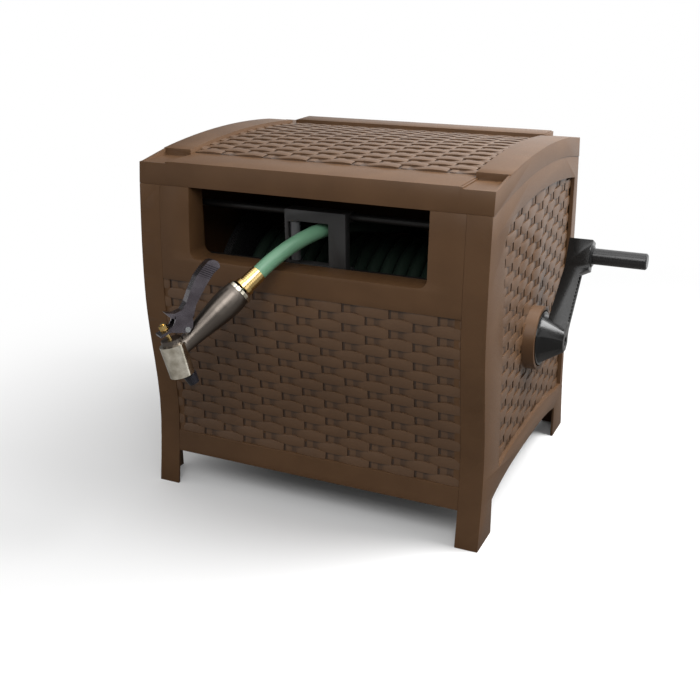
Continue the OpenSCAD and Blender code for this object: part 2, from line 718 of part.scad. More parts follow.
module crank_screw() color(steel) placed() {
  axle_rod(journal_end - 48, arm_x - 1, 2.2);
  axle_rod(arm_x - 2, arm_x + 2, 6);
}

groove_x = handle_end - 16;
module handle_spindle() color(grey) placed() crank_frame() translate([0, 0, crank_r]) rotate([0, 90, 0]) {
  translate([0, 0, grip_x - 26]) cylinder(h = handle_end - grip_x + 18, r = spindle_r);
  translate([0, 0, groove_x + 0.5]) cylinder(h = 4, r = spindle_r + 1.2);
}

module handle_grip() color(black) placed() crank_frame() translate([0, 0, crank_r]) rotate([0, 90, 0])
  difference() {
    union() {
      translate([0, 0, grip_x]) cylinder(h = handle_end - grip_x - 2, r = grip_r);
      translate([0, 0, handle_end - 2 - eps]) cylinder(h = 2 + eps, r1 = grip_r, r2 = grip_r - 2);
    }
    translate([0, 0, grip_x - 1]) cylinder(h = handle_end - 7 - grip_x + 1, r = spindle_r + run_gap);
    translate([0, 0, groove_x]) cylinder(h = 5, r = spindle_r + 1.2 + run_gap);
  }

roller_y = (guide_front + guide_back) / 2;
right_roller_y = roller_y + 2.5;
left_roller_x = eye_left - roller_r + 0.5;
right_roller_x = eye_right + roller_r;
roller_low = rod_low_z + 16;
roller_top = rod_top_z - sleeve_r - 1;
eye_low = sill_z + 0.5;
module roller_pin_at(x, y, r) translate([x, y, roller_low - 8]) cylinder(h = rod_top_z + 2 - roller_low + 8, r = r);

module guide_carriage() color(grey) placed() difference() {
  union() {
    block([guide_left, guide_front, rod_low_z - sleeve_r], [guide_right, guide_back, rod_top_z + sleeve_r]);
    for (z = [rod_top_z, rod_low_z]) {
      rod_x(guide_left, guide_right, sleeve_r, -rod_y, z);
      block([guide_left, guide_back - 1, z - sleeve_r + 1], [guide_right, -rod_y, z + sleeve_r - 1]);
    }
  }
  for (z = [rod_top_z, rod_low_z])
    rod_x(guide_left - 1, guide_right + 1, rod_r + run_gap, -rod_y, z);
  block([eye_left, guide_front - 1, eye_low], [eye_right, guide_back + 20, rod_top_z - sleeve_r]);
  block([left_roller_x - roller_r - 1, guide_front - 1, roller_low - 0.5],
        [eye_left + 1, guide_back + 1, roller_top + 0.5 - 1.5]);
  block([eye_right - 1, guide_front + 3, roller_low - 0.5],
        [right_roller_x + roller_r + 1, guide_back + 1, roller_top + 0.5 - 1.5]);
  roller_pin_at(left_roller_x, roller_y, 2);
  roller_pin_at(right_roller_x, right_roller_y, 2);
}

module guide_roller_pins() color(steel) placed() {
  roller_pin_at(left_roller_x, roller_y, 2);
  roller_pin_at(right_roller_x, right_roller_y, 2);
}

module guide_roller(x, y) translate([x, y, roller_low]) difference() {
  cylinder(h = roller_top - roller_low - 1.5, r = roller_r);
  translate([0, 0, -1]) cylinder(h = 80, r = 2 + run_gap);
}
module left_guide_roller() color(steel) placed() guide_roller(left_roller_x, roller_y);
module right_guide_roller() color(steel) placed() guide_roller(right_roller_x, right_roller_y);

// Tubes swept along points: each ring is square to the path where it stands
function unit(v) = v / norm(v);
function path_dir(p, i) = unit(p[min(i + 1, len(p) - 1)] - p[max(i - 1, 0)]);
function ring_at(c, t, r, n) =
  let (a = unit(cross(t, [1, 0, 0])), b = cross(t, a))
  [for (k = [0:n - 1]) c + r * (cos(360 * k / n) * a + sin(360 * k / n) * b)];
module hose_along(p, r, n = 10) tube_mesh([for (i = [0:len(p) - 1]) ring_at(p[i], path_dir(p, i), r, n)]);

// Route of the hose from the guide over the sill to its end fitting: one smooth curve
eye_at = [(eye_left + eye_right) / 2, guide_front, (rod_top_z + rod_low_z) / 2];
end_points = [for (p = [[18.5, 52, 19], [0, -4.5, 24.5], [-27, -54.5, 1], [-46, -84, -25.5]]) eye_at + p];
function curve(p, t) = pow(1 - t, 3) * p[0] + 3 * pow(1 - t, 2) * t * p[1]
  + 3 * (1 - t) * t * t * p[2] + pow(t, 3) * p[3];
end_route = [for (t = steps(0, 1, 14)) curve(end_points, t)];

// Route inside: half a turn over the wound hose, then up to the guide
lead_x = 45;
lead_angle = 77;
lead_off = [lead_x, axle_y + lead_r * cos(lead_angle), axle_z + lead_r * sin(lead_angle)];
lead_in = end_points[0] + (end_points[0] - end_points[1]) * 1.1;
lead_points = [lead_off, lead_off + 66 * [0, -sin(lead_angle), cos(lead_angle)], lead_in, end_points[0]];
lead_route = concat(
  [for (a = [-91:12:65]) [lead_x, axle_y + lead_r * cos(a), axle_z + lead_r * sin(a)]],
  [for (t = steps(0, 1, 6)) curve(lead_points, t)]);

module hose_lead() color(green) placed() hose_along(lead_route, hose_r);
module hose_end() color(green) placed() hose_along(end_route, hose_r);

// The nozzle leans outward with its handle along +Z of its own frame, lever towards -X
nozzle_at = end_points[3] + [-16, -24.5, -21];
module nozzle_frame() placed() translate(nozzle_at)
  rotate([-49.5, 0, 0]) rotate([0, 26.5, 0]) rotate([0, 0, 60.5]) children();
module in_head() translate(head_at) rotate([0, head_turn, 0]) children();
module in_stem() translate(head_at) rotate([0, stem_turn, 0]) children();
module cross_pin(at, len, r) translate(at) rotate([90, 0, 0]) translate([0, 0, -len / 2]) cylinder(h = len, r = r);
module slab(y0, y1) translate([0, y1, 0]) rotate([90, 0, 0]) linear_extrude(y1 - y0) children();

module hose_coupling() color(brass) nozzle_frame() difference() {
  union() {
    translate([0, 0, 9]) cylinder(h = hose_end_z - 9, r = 12.4);
    for (z = [11:3.2:31]) translate([0, 0, z]) cylinder(h = 1.6, r = 13.2);
    translate([0, 0, 3]) cylinder(h = 6.5, r = 15);
    translate([0, 0, -11.7]) cylinder(h = 15, r = 12.4);
  }
  translate([0, 0, -12]) cylinder(h = hose_end_z + 11.4, r = water_r - 1);
}

module hose_washer() color("#222222") nozzle_frame() difference() {
  translate([0, 0, -15]) cylinder(h = 3.3, r = 12.3);
  translate([0, 0, -16]) cylinder(h = 5, r = water_r - 1);
}

module nozzle_collar() color(chrome) nozzle_frame() difference() {
  union() {
    translate([0, 0, -7]) cylinder(h = 5, r = collar_r);
    translate([0, 0, -2 - eps]) cylinder(h = 4, r1 = collar_r, r2 = collar_r - 4);
  }
  translate([0, 0, -8]) cylinder(h = 12, r = 12.5);
}

grip_profile = [[0, -7], [19.5, -7], [20.8, -14], [21.4, -24], [21, -35], [19.6, -50], [17.6, -65], [15.8, -79],
                [13.8, -95], [12.4, -110], [12, -124], [0, -124]];
module nozzle_body() color(gunmetal) nozzle_frame() difference() {
  union() {
    translate([-0.6, 0, 0]) rotate_extrude() polygon(grip_profile);
    in_head() {
      translate([0, 0, -30]) cylinder(h = 38, r = 15);
      translate([0, 0, -36]) cylinder(h = 7, r = 9.5);
    }
    cross_pin(pivot_at, 15.2, 6.5);
    block([pivot_at[0], -7.6, pivot_at[2] - 6.5], [pivot_at[0] + 12, 7.6, pivot_at[2] + 6.5]);
  }
  translate([0, 0, -15]) cylinder(h = 16, r = 12.5);
  translate([0, 0, -112]) cylinder(h = 100, r = water_r - 2);
  in_stem() translate([0, 0, -24]) cylinder(h = 60, r = stem_r + run_gap);
  in_head() translate([0, 0, -37]) cylinder(h = 18, r = 7);
  cross_pin(pivot_at, 24, 2.5);
}

module nozzle_head() color(chrome) nozzle_frame() difference() {
  in_head() translate([0, 0, -head_len]) cylinder(h = head_len, r1 = head_r - 1.7, r2 = head_r);
  in_head() {
    translate([0, 0, -30]) cylinder(h = 36, r = 15);
    translate([0, 0, -36]) cylinder(h = 7, r = 9.5);
    translate([0, 0, -41]) cylinder(h = 6, r = 6);
  }
  in_tip() translate([0, 0, -4]) cylinder(h = 14, r = tip_r - 2);
  in_tip() translate([0, 0, -24]) cylinder(h = 20, r = head_r * 2);
  translate([-0.6, 0, -125]) cylinder(h = 60, r = 13.2);
}

// The spray tip stands in the head's front, in line with the valve stem
module in_tip() in_stem() translate([0, 0, -48]) children();
module nozzle_tip() color("#2b2b2b") nozzle_frame() difference() {
  in_tip() {
    translate([0, 0, -4 - eps]) cylinder(h = 9, r = tip_r - 2);
    translate([0, 0, -19]) cylinder(h = 15, r1 = tip_r - 2.5, r2 = tip_r);
  }
  in_tip() translate([0, 0, -20]) cylinder(h = 30, r = 4);
}

module lever_rivet() color(chrome) nozzle_frame() {
  cross_pin(pivot_at, 23.6, 2.45);
  for (side = [-1, 1]) cross_pin(pivot_at + [0, side * 12.7, 0], 1.8, 4);
}

bar_outline = [[-50, -3], [-54.5, -0.5], [-59, -0.3], [-65, -3], [-68.3, -9], [-67.5, -22], [-64.5, -37],
               [-55.5, -57], [-47, -72], [-43.5, -84], [-47, -95], [-56.5, -104], [-46, -103], [-37, -98],
               [-30, -90], [-24.5, -82], [-25.5, -77], [-34.6, -64], [-39.4, -51], [-45.7, -32], [-49.9, -16]];
cheek_outline = [[-26, -80], [-38, -88], [-43, -97], [-38, -104], [-36, -109], [-37.6, -117.6], [-33.3, -118.7],
                 [-27, -113], [-19, -105], [-14.4, -100], [-13.6, -95], [-15, -89], [-21, -83]];
module squeeze_lever() color(gunmetal) nozzle_frame() difference() {
  union() {
    slab(-lever_half, lever_half) polygon(bar_outline);
    for (y = [-11.5, 8]) slab(y, y + 3.5) polygon(cheek_outline);
    in_stem() block([-12, -11.5, 19], [6.5, 11.5, 23]);
  }
  in_stem() block([-3.5 - stem_r, -4, 18], [3.5, 4, 24]);
  cross_pin(pivot_at, 28, 2.5);
}

module valve_stem() color(brass) nozzle_frame() in_stem() translate([0, 0, -4]) cylinder(h = 38, r = stem_r);

module adjusting_nut() color(brass) nozzle_frame() in_stem() difference() {
  union() {
    translate([0, 0, 23.3]) cylinder(h = 8.5, r = 6.4, $fn = 6);
    translate([0, 0, 23.3]) cylinder(h = 1.5, r = 6.7);
  }
  translate([0, 0, 22]) cylinder(h = 12, r = stem_r + run_gap);
}

left_side_panel();
right_side_panel();
front_panel();
rear_panel();
panel_screws();
hinge_pins();
left_bushing();
right_bushing();
upper_guide_rod();
lower_guide_rod();
inlet_tube();
inlet_o_rings();
inlet_cover();
cover_screws();
lid();
drum_core();
left_flange();
right_flange();
flange_screws();
outlet_elbow();
hose_tail_coupling();
hose_tail();
hose_inner_layers();
hose_outer_layer();
crank_arm();
crank_screw();
handle_spindle();
handle_grip();
guide_carriage();
guide_roller_pins();
left_guide_roller();
right_guide_roller();
hose_lead();
hose_end();
hose_coupling();
hose_washer();
nozzle_body();
nozzle_collar();
nozzle_head();
nozzle_tip();
lever_rivet();
squeeze_lever();
valve_stem();
adjusting_nut();
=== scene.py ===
# %% [markdown]
# A garden hose cabinet: a moulded resin box with a wicker look. It hides a hose reel, which a
# crank turns. The hose leaves through a window in the front, past a guide that slides on two
# rods, and ends in a metal trigger nozzle. This lesson dresses its CAD solids. It loads them
# as a fixed frame, then lays the hose, eases the moulded edges, weaves the fields and mixes
# each material from nodes.

# %% Load the frame
import math

import bmesh
import bpy
from mathutils import Matrix, Vector


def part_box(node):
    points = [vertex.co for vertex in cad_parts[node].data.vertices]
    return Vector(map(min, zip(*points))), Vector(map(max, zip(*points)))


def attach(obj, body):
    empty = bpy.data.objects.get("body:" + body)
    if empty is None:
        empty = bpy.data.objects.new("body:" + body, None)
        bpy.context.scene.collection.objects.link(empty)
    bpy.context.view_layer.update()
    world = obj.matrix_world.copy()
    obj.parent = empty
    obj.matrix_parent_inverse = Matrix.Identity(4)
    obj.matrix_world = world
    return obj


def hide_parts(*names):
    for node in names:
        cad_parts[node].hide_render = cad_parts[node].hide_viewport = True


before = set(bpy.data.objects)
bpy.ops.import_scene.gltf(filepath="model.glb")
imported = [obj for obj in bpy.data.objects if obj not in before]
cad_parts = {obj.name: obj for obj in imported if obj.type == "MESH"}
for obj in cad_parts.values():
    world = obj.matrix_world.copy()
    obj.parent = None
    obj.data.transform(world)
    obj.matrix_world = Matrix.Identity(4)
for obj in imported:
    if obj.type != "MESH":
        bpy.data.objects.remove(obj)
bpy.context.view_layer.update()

# %% [markdown]
# Sizes on the cabinet are easiest to read in millimetres from its own middle. The CAD frame
# has its origin under the middle of cabinet, crank and inlet together, 61.5 mm further to the
# crank side, so one small function turns cabinet millimetres into frame metres.

# %% Units and places
CABINET_X = -61.5


def at(x, y, z):
    return Vector((x + CABINET_X, y, z)) / 1000


def mm(value):
    return value / 1000


print("foot of the cabinet's middle", tuple(round(v, 4) for v in at(0, 0, 0)))

# %% [markdown]
# The camera stands where the photographer stood: about 1.8 m away, to the right of the
# cabinet and above it, looking down by 21 degrees. Its place came from matching the corners
# of lid and legs with the photograph.

# %% Camera
SENSOR_MM, LENS_MM = 36, 52.37
CAMERA_AT = (675.2, -1517.9, 830.3)
HEADING, TILT, ROLL = 25.274, 69.013, -0.52

lens = bpy.data.cameras.new("photo_lens")
lens.sensor_width = SENSOR_MM
lens.lens = LENS_MM
camera = bpy.data.objects.new("camera", lens)
bpy.context.scene.collection.objects.link(camera)
turn = (Matrix.Rotation(math.radians(HEADING), 4, "Z")
        @ Matrix.Rotation(math.radians(TILT), 4, "X"))
camera.matrix_world = (Matrix.Translation(at(*CAMERA_AT)) @ turn
                       @ Matrix.Rotation(math.radians(ROLL), 4, "Z"))
bpy.context.scene.camera = camera
print("camera at", tuple(round(v, 3) for v in camera.matrix_world.translation))

# %% [markdown]
# A garden hose is a soft vinyl tube. A ring could be extruded along its way step by step, but
# a spline with a round bevel follows a route by itself and is easily made a mesh. So one
# helper makes every length of hose that way, from a list of points.

# %% Tubes along a route
HOSE_R = 11.5


def curve_at(p, t):
    """A point of the Bezier curve with the four control points p, at t from 0 to 1."""
    return [(1 - t) ** 3 * a + 3 * (1 - t) ** 2 * t * b + 3 * (1 - t) * t * t * c + t ** 3 * d
            for a, b, c, d in zip(*p)]


def only(*pieces):
    """Deselects everything, then selects the pieces and makes the first one active."""
    bpy.ops.object.select_all(action="DESELECT")
    for piece in pieces:
        piece.select_set(True)
    bpy.context.view_layer.objects.active = pieces[0]


def tube(name, points, sides, radius=HOSE_R):
    """A round tube through the points, in cabinet millimetres, made a mesh."""
    line = bpy.data.curves.new(name, "CURVE")
    line.dimensions = "3D"
    line.bevel_depth = mm(radius)
    line.bevel_resolution = sides
    line.use_fill_caps = True
    spline = line.splines.new("POLY")
    spline.points.add(len(points) - 1)
    for knot, p in zip(spline.points, points):
        knot.co = (*at(*p), 1)
    piece = bpy.data.objects.new(name, line)
    bpy.context.scene.collection.objects.link(piece)
    only(piece)
    bpy.ops.object.convert(target="MESH")
    bpy.ops.object.shade_smooth()
    return piece


print("hose", 2 * HOSE_R, "mm thick")

# %% [markdown]
# The end of the hose that shows is a fixed length. It leaves the guide and bends down over
# the sill to the nozzle's coupling: a short, wide curve, so it is drawn as one spline of 15
# points. The same spline in the CAD source gives its solid, and the nozzle and its pieces
# hang on it.

# %% The free end
END_STEPS = 14

end_points = [[12.5, -150, 450], [-6, -206.5, 455.5], [-33, -256.5, 432], [-52, -286, 405.5]]
end_route = [curve_at(end_points, t / END_STEPS) for t in range(END_STEPS + 1)]
hose_end_piece = tube("hose_front", end_route, sides=8)
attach(hose_end_piece, "guide")
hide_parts("hose_end")

# %% [markdown]
# Inside, the hose lies in layers on the drum. The outer layer has 16 turns side by side, and
# the layer under it winds back the other way. Each is a helix with 48 points a turn, which is
# smooth enough for the glimpse through the window and for the view with the lid open.

# %% The wound hose
AXLE_Y, AXLE_Z = 15, 254
TURNS, PER_TURN, PITCH = 16, 48, 23.6
INNER_R, LAYER_TOP_R = 106.6, 118.6
# a turn of the CAD's outer layer is 24 straight pieces, which lie a little further out so
# that they clear the layer under them, and these turns have their radius
WIND_R = LAYER_TOP_R / math.cos(math.radians(7.5)) + HOSE_R


def round_axle(x, radius, angle):
    return x, AXLE_Y + radius * math.cos(angle), AXLE_Z + radius * math.sin(angle)


def helix(radius, start, hand=1):
    return [round_axle(start + hand * PITCH * i / PER_TURN, radius, 2 * math.pi * i / PER_TURN)
            for i in range(TURNS * PER_TURN + 1)]


outer_turns = helix(WIND_R, -TURNS / 2 * PITCH)
first, last = outer_turns[0], outer_turns[-1]
lead_in = [(first[0], first[1], first[2] - HOSE_R * 2)]
lead_out = [(last[0], last[1], last[2] + HOSE_R * 2)]
outer = tube("hose_outer_turns", lead_in + outer_turns + lead_out, sides=2)
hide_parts("hose_outer_layer")
inner = tube("hose_inner_turns", helix(INNER_R, TURNS / 2 * PITCH, -1), sides=2)
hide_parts("hose_inner_layers")
print("points of the outer turns", len(outer_turns))

# %% [markdown]
# The run to the guide starts as a wrap over the outer turns, leaves them near the top and
# rises to the guide's eye, where the free end takes over. The tail is a short bend from the
# coupling on the reel's elbow out through the drum's wall. Both are drawn as the same tube,
# from an arc and a curve, so that they meet the other hose pieces with its thickness.

# %% The run to the guide, and the tail
LEAD_X, LEAD_GAP, LEAD_LEAVES, LEAD_STEPS = 45, 2.2, 77, 12
LEAD_PULL, EYE_PULL = 66, 1.1
WRAP_ANGLES = range(-91, 66, 6)
TAIL_X, TAIL_Y, TAIL_Z, TAIL_BEND, TAIL_R = -158, 54, 228, 88, 11
TAIL_ANGLES = range(0, 33, 4)

lead_r = WIND_R + 2 * HOSE_R + LEAD_GAP
lead_angle = math.radians(LEAD_LEAVES)
lead_off = round_axle(LEAD_X, lead_r, lead_angle)
rise = (0, -LEAD_PULL * math.sin(lead_angle), LEAD_PULL * math.cos(lead_angle))
back = [a + EYE_PULL * (a - b) for a, b in zip(end_points[0], end_points[1])]
lead_points = [lead_off, [a + b for a, b in zip(lead_off, rise)], back, end_points[0]]
wrap = [round_axle(LEAD_X, lead_r, math.radians(a)) for a in WRAP_ANGLES]
climb = [curve_at(lead_points, t / LEAD_STEPS) for t in range(LEAD_STEPS + 1)]
lead = tube("hose_lead_run", wrap + climb, sides=3)
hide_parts("hose_lead")

tail_arc = [(TAIL_X, TAIL_Y + TAIL_BEND * math.sin(math.radians(a)),
             TAIL_Z + TAIL_BEND * math.cos(math.radians(a))) for a in TAIL_ANGLES]
tail = tube("hose_tail_run", tail_arc, sides=3, radius=TAIL_R)
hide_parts("hose_tail")
for piece, body in ((outer, "reel"), (inner, "reel"), (tail, "reel"), (lead, "guide")):
    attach(piece, body)
    print(piece.name, len(piece.data.polygons), "faces, on", body)

# %% [markdown]
# Blender's materials are trees of nodes. One small function adds a node with its settings
# and links, whatever its kind, and one turns a colour as it is written on the web into the
# linear values that Blender mixes. All materials, floor and world below are built with them.

# %% Node and colour helpers
def add(tree, kind, links=None, **settings):
    """A node with its settings. links maps an input's name or number to a socket, to a node,
    which stands for its first output, or to a plain value."""
    made = tree.nodes.new("ShaderNode" + kind)
    for key, value in settings.items():
        setattr(made, key, value)
    for key, value in (links or {}).items():
        if isinstance(value, bpy.types.Node):
            value = value.outputs[0]
        if isinstance(value, bpy.types.NodeSocket):
            tree.links.new(value, made.inputs[key])
        else:
            made.inputs[key].default_value = value
    return made


def linear(code):
    """A colour as it is written in sRGB hex, turned to the linear values that Blender mixes."""
    parts = [int(code[i:i + 2], 16) / 255 for i in (1, 3, 5)]
    return (*[c / 12.92 if c <= 0.04045 else ((c + 0.055) / 1.055) ** 2.4 for c in parts], 1)


print("middle grey #808080 is", round(linear("#808080")[0], 3), "in linear light")

# %% [markdown]
# The photograph is a product shot on white, with a soft shadow on the floor. A backdrop that
# only glows would take no shadow, so the floor is a real surface, large enough that its edge
# never shows.

# %% Floor
FLOOR_WIDE = 30

bpy.ops.mesh.primitive_plane_add(size=FLOOR_WIDE, location=(0, 0, 0))
floor = bpy.context.object
floor.name = "studio_floor"
print(floor.name, FLOOR_WIDE, "m wide")

# %% [markdown]
# The floor of a photo studio is matt white paper, which takes a soft shadow. Near the cabinet
# it is such paper, and further out it fades to a pure white glow. It is duller for the light
# that bounces off it, so that it doesn't light the case from below, and polished metal sees
# its white part mostly behind the cabinet.

# %% Studio paper
POOL_MIDDLE = (0.3, 0, 0)
WHITE_FROM, WHITE_BY = 0.45, 1.5  # metres from the middle of the shadow
# how much of the white polished metal sees, from in front of the cabinet to behind it
MIRRORED = {1: -0.3, 2: 0.6, 3: 0.25, 4: 1.0}

paper = bpy.data.materials.new("studio_paper")
paper.use_nodes = True
tree = paper.node_tree
tree.nodes.clear()
ray = add(tree, "LightPath")
glossy_ray = ray.outputs["Is Glossy Ray"]
place = add(tree, "NewGeometry").outputs["Position"]
radius = add(tree, "VectorMath", {0: place, 1: POOL_MIDDLE}, operation="DISTANCE")
far = add(tree, "MapRange", {0: radius.outputs["Value"], 1: WHITE_FROM, 2: WHITE_BY},
          interpolation_type="SMOOTHSTEP")
depth = add(tree, "SeparateXYZ", {0: place}).outputs["Y"]
behind = add(tree, "MapRange", {0: depth, **MIRRORED}, interpolation_type="SMOOTHSTEP")
mirrored = add(tree, "Math", {0: glossy_ray, 1: behind}, operation="MULTIPLY")
seen = add(tree, "Math", {0: ray.outputs["Is Camera Ray"], 1: mirrored}, operation="MAXIMUM")
bounce = add(tree, "Math", {0: ray.outputs["Is Diffuse Ray"], 1: glossy_ray},
             operation="MAXIMUM")
dull = add(tree, "Mix", {0: bounce, 6: linear("#efefef"), 7: linear("#7c7a78")},
           data_type="RGBA")
matt = add(tree, "BsdfDiffuse", {"Color": dull.outputs[2]})
glow = add(tree, "Emission", {"Color": (1, 1, 1, 1), "Strength": 1.0})
share = add(tree, "Math", {0: seen, 1: far}, operation="MULTIPLY")
mixed = add(tree, "MixShader", {0: share, 1: matt, 2: glow})
add(tree, "OutputMaterial", {"Surface": mixed})
floor.data.materials.append(paper)
print("floor fades to white from", WHITE_FROM, "to", WHITE_BY, "m")

# %% [markdown]
# Light comes softly from all round, a little more from above. It could come from many large
# lamps, but the world's own nodes give it from every side at once.

# %% Even light from the world
# from and to which height of the ray's direction, then the strength at either end
SKY = {1: -0.1, 2: 0.9, 3: 0.3, 4: 0.55}

world = bpy.data.worlds.new("studio_world")
bpy.context.scene.world = world
world.use_nodes = True
tree = world.node_tree
tree.nodes.clear()
ray = add(tree, "LightPath")
heading = add(tree, "TexCoord").outputs["Generated"]
height = add(tree, "SeparateXYZ", {0: heading}).outputs["Z"]
soft = add(tree, "MapRange", {0: height, **SKY}, interpolation_type="SMOOTHSTEP")
print("even light from", SKY[3], "low down to", SKY[4], "overhead")

# %% [markdown]
# Glossy rays see a studio instead: bright behind and overhead, dark in front, with two tall
# strip lights. Polished metal needs such contrast, or it looks like flat paint. The studio is
# drawn in the world's nodes, because nothing of it has to cast a shadow.

# %% What polished metal sees
# from and to where along its direction, then the strength at either end
REAR_WALL = {1: 0.25, 2: 0.8, 3: 0.1, 4: 1.45}
CEILING = {1: 0.55, 2: 0.85, 3: 0.0, 4: 1.1}
FRONT_HALF = {1: 0.0, 2: 0.3}
REARWARD = (0.5, 0.866, 0)
# each strip light: angle from the front, positive to the crank side, half width, strength
STRIPS = [(-38, 0.16, 1.6), (62, 0.2, 1.4)]

rearward = add(tree, "VectorMath", {0: heading, 1: REARWARD}, operation="DOT_PRODUCT")
rear = add(tree, "MapRange", {0: rearward.outputs["Value"], **REAR_WALL},
           interpolation_type="SMOOTHSTEP")
overhead = add(tree, "MapRange", {0: height, **CEILING}, interpolation_type="SMOOTHSTEP")
gloss = add(tree, "Math", {0: rear, 1: overhead}, operation="ADD")
for azimuth, half_width, strength in STRIPS:
    x, y = math.cos(math.radians(azimuth)), math.sin(math.radians(azimuth))
    across = add(tree, "VectorMath", {0: heading, 1: (x, y, 0)}, operation="DOT_PRODUCT")
    away = add(tree, "Math", {0: across.outputs["Value"]}, operation="ABSOLUTE")
    edge = {1: half_width * 0.6, 2: half_width, 3: strength, 4: 0.0}
    lit = add(tree, "MapRange", {0: away, **edge}, interpolation_type="SMOOTHSTEP")
    forward = add(tree, "VectorMath", {0: heading, 1: (y, -x, 0)}, operation="DOT_PRODUCT")
    front_only = add(tree, "MapRange", {0: forward.outputs["Value"], **FRONT_HALF},
                     interpolation_type="SMOOTHSTEP")
    strip = add(tree, "Math", {0: lit, 1: front_only}, operation="MULTIPLY")
    gloss = add(tree, "Math", {0: gloss, 1: strip}, operation="ADD")
level = add(tree, "Mix", {0: ray.outputs["Is Glossy Ray"], 2: soft, 3: gloss})
level = add(tree, "Mix", {0: ray.outputs["Is Camera Ray"], 2: level, 3: 1.0})
sky = add(tree, "Background", {"Color": (1, 1, 1, 1), "Strength": level})
add(tree, "OutputWorld", {"Surface": sky})
print("world nodes", len(tree.nodes))

# %% [markdown]
# Three round soft boxes give the light its direction: one over the rear right corner for the
# lid, one in front for the front, and the strongest at the crank side. So the lid is
# lightest, the crank side next and the front darkest, as in the photograph.

# %% Lamps
def lamp(name, place, aim, size, power):
    """A round soft box; place, aim and size are in metres and power is in watts."""
    data = bpy.data.lights.new(name, "AREA")
    data.shape = "DISK"
    data.size = size
    data.energy = power
    made = bpy.data.objects.new(name, data)
    bpy.context.scene.collection.objects.link(made)
    made.location = place
    made.rotation_euler = (Vector(aim) - Vector(place)).to_track_quat("-Z", "Y").to_euler()
    print(name, power, "W at", place)


lamp("top_softbox", (0.75, 0.55, 1.7), (0.1, 0, 0.4), 1.2, 8.5)
lamp("front_softbox", (0.35, -1.25, 1.35), (0, 0, 0.35), 0.9, 11)
lamp("side_softbox", (1.05, 0.2, 1.5), (0.1, 0, 0.45), 0.8, 31)
bpy.context.scene.view_settings.view_transform = "Standard"

# %% [markdown]
# Every finish starts from the real material and how its surface was made. Two close colours
# in slow patches keep a surface from looking printed, and a fine grain of a real size breaks
# up its shine. Real grains are finer than half a millimetre here and don't show from 1.8 m
# away, so they are drawn 0.8 to 2 mm coarse. The first finish is the resin of the case,
# which is coloured right through.

# %% A finish from nodes, and the resin
SHINE_SPREAD = 0.06  # how far the grain moves the roughness up and down


def finish(name, colour, roughness, grain, grain_mm, second=None, metallic=0.0, specular=0.5,
           depth_mm=0.05, patch_mm=60, stretch=(1, 1, 1)):
    """grain is the bump's strength, grain_mm and depth_mm its real size; second is the other
    colour, in patches of patch_mm; stretch draws the grain out, as on a drawn bar."""
    made = bpy.data.materials.new(name)
    made.use_nodes = True
    tree = made.node_tree
    tree.nodes.clear()
    where = add(tree, "TexCoord").outputs["Object"]
    span = add(tree, "Mapping", {"Vector": where, "Scale": stretch})
    fine = add(tree, "TexNoise", {"Vector": span, "Scale": 1000 / grain_mm, "Detail": 2.0})
    # a noise node's values lie mostly between 0.3 and 0.7
    rough = add(tree, "MapRange", {0: fine, 1: 0.3, 2: 0.7, 4: roughness + SHINE_SPREAD,
                                   3: max(roughness - SHINE_SPREAD, 0.02)})
    bump = add(tree, "Bump", {"Height": fine, "Strength": grain, "Distance": mm(depth_mm)})
    base = linear(colour)
    if second:
        slow = add(tree, "TexNoise", {"Vector": where, "Scale": 1000 / patch_mm, "Detail": 3.0})
        tone = add(tree, "MapRange", {0: slow, 1: 0.35, 2: 0.65})
        base = add(tree, "Mix", {0: tone, 6: base, 7: linear(second)},
                   data_type="RGBA").outputs[2]
    skin = add(tree, "BsdfPrincipled", {"Base Color": base, "Metallic": metallic,
                                        "Roughness": rough, "Normal": bump,
                                        "Specular IOR Level": specular})
    add(tree, "OutputMaterial", {"Surface": skin})
    return made


# polypropylene moulded in a finely sparked tool: a soft sheen with no gloss
resin = finish("moulded_polypropylene", "#5b412a", 0.44, grain=0.35, grain_mm=1.1,
               second="#553c26", specular=0.3)
print(resin.name, len(resin.node_tree.nodes), "nodes")

# %% [markdown]
# The moving parts are other plastics. Reel and grip are moulded of nylon with glass fibres,
# the crank of the same nylon in a polished tool, and guide and rollers of plastics that slide
# well. They differ mostly in how sharply they shine, so each has its own roughness.

# %% Other plastics, and rubber
# nylon with glass fibres: hard, dark and shiny, a little uneven where the fibres lie
nylon = finish("glass_filled_nylon", "#1f1f20", 0.27, grain=0.3, grain_mm=1.4, second="#242323")
# the same nylon from a polished tool: deep black with sharp lights
crank_nylon = finish("polished_black_nylon", "#131313", 0.2, grain=0.2, grain_mm=1.4,
                     second="#171717", specular=0.28)
# ABS from a satin tool: an even dark grey
guide_plastic = finish("satin_abs", "#292929", 0.38, grain=0.2, grain_mm=1.2, second="#2f2e2e")
# acetal, machined or moulded: mid grey and waxy
roller_plastic = finish("acetal_roller", "#5a5a5c", 0.4, grain=0.2, grain_mm=1.2,
                        second="#525254")
# pressed rubber: swallows nearly all light
rubber = finish("black_rubber", "#1a1a1a", 0.7, grain=0.3, grain_mm=1.0, second="#222222")
print("plastics", nylon.name, crank_nylon.name, guide_plastic.name, roller_plastic.name)

# %% [markdown]
# The hose is extruded PVC. Inside the box it gets a darker colour, painted shade for the dark
# inside of the cabinet, so its colour changes along the depth of the cabinet, between 200 and
# 140 mm in front of the middle. A helper lays such painted shade over a finish.

# %% Hose vinyl
SHADE_BEGINS_Y, SHADE_FULL_Y = -0.2, -0.14


def skin_of(material):
    return next(n for n in material.node_tree.nodes if n.type == "BSDF_PRINCIPLED")


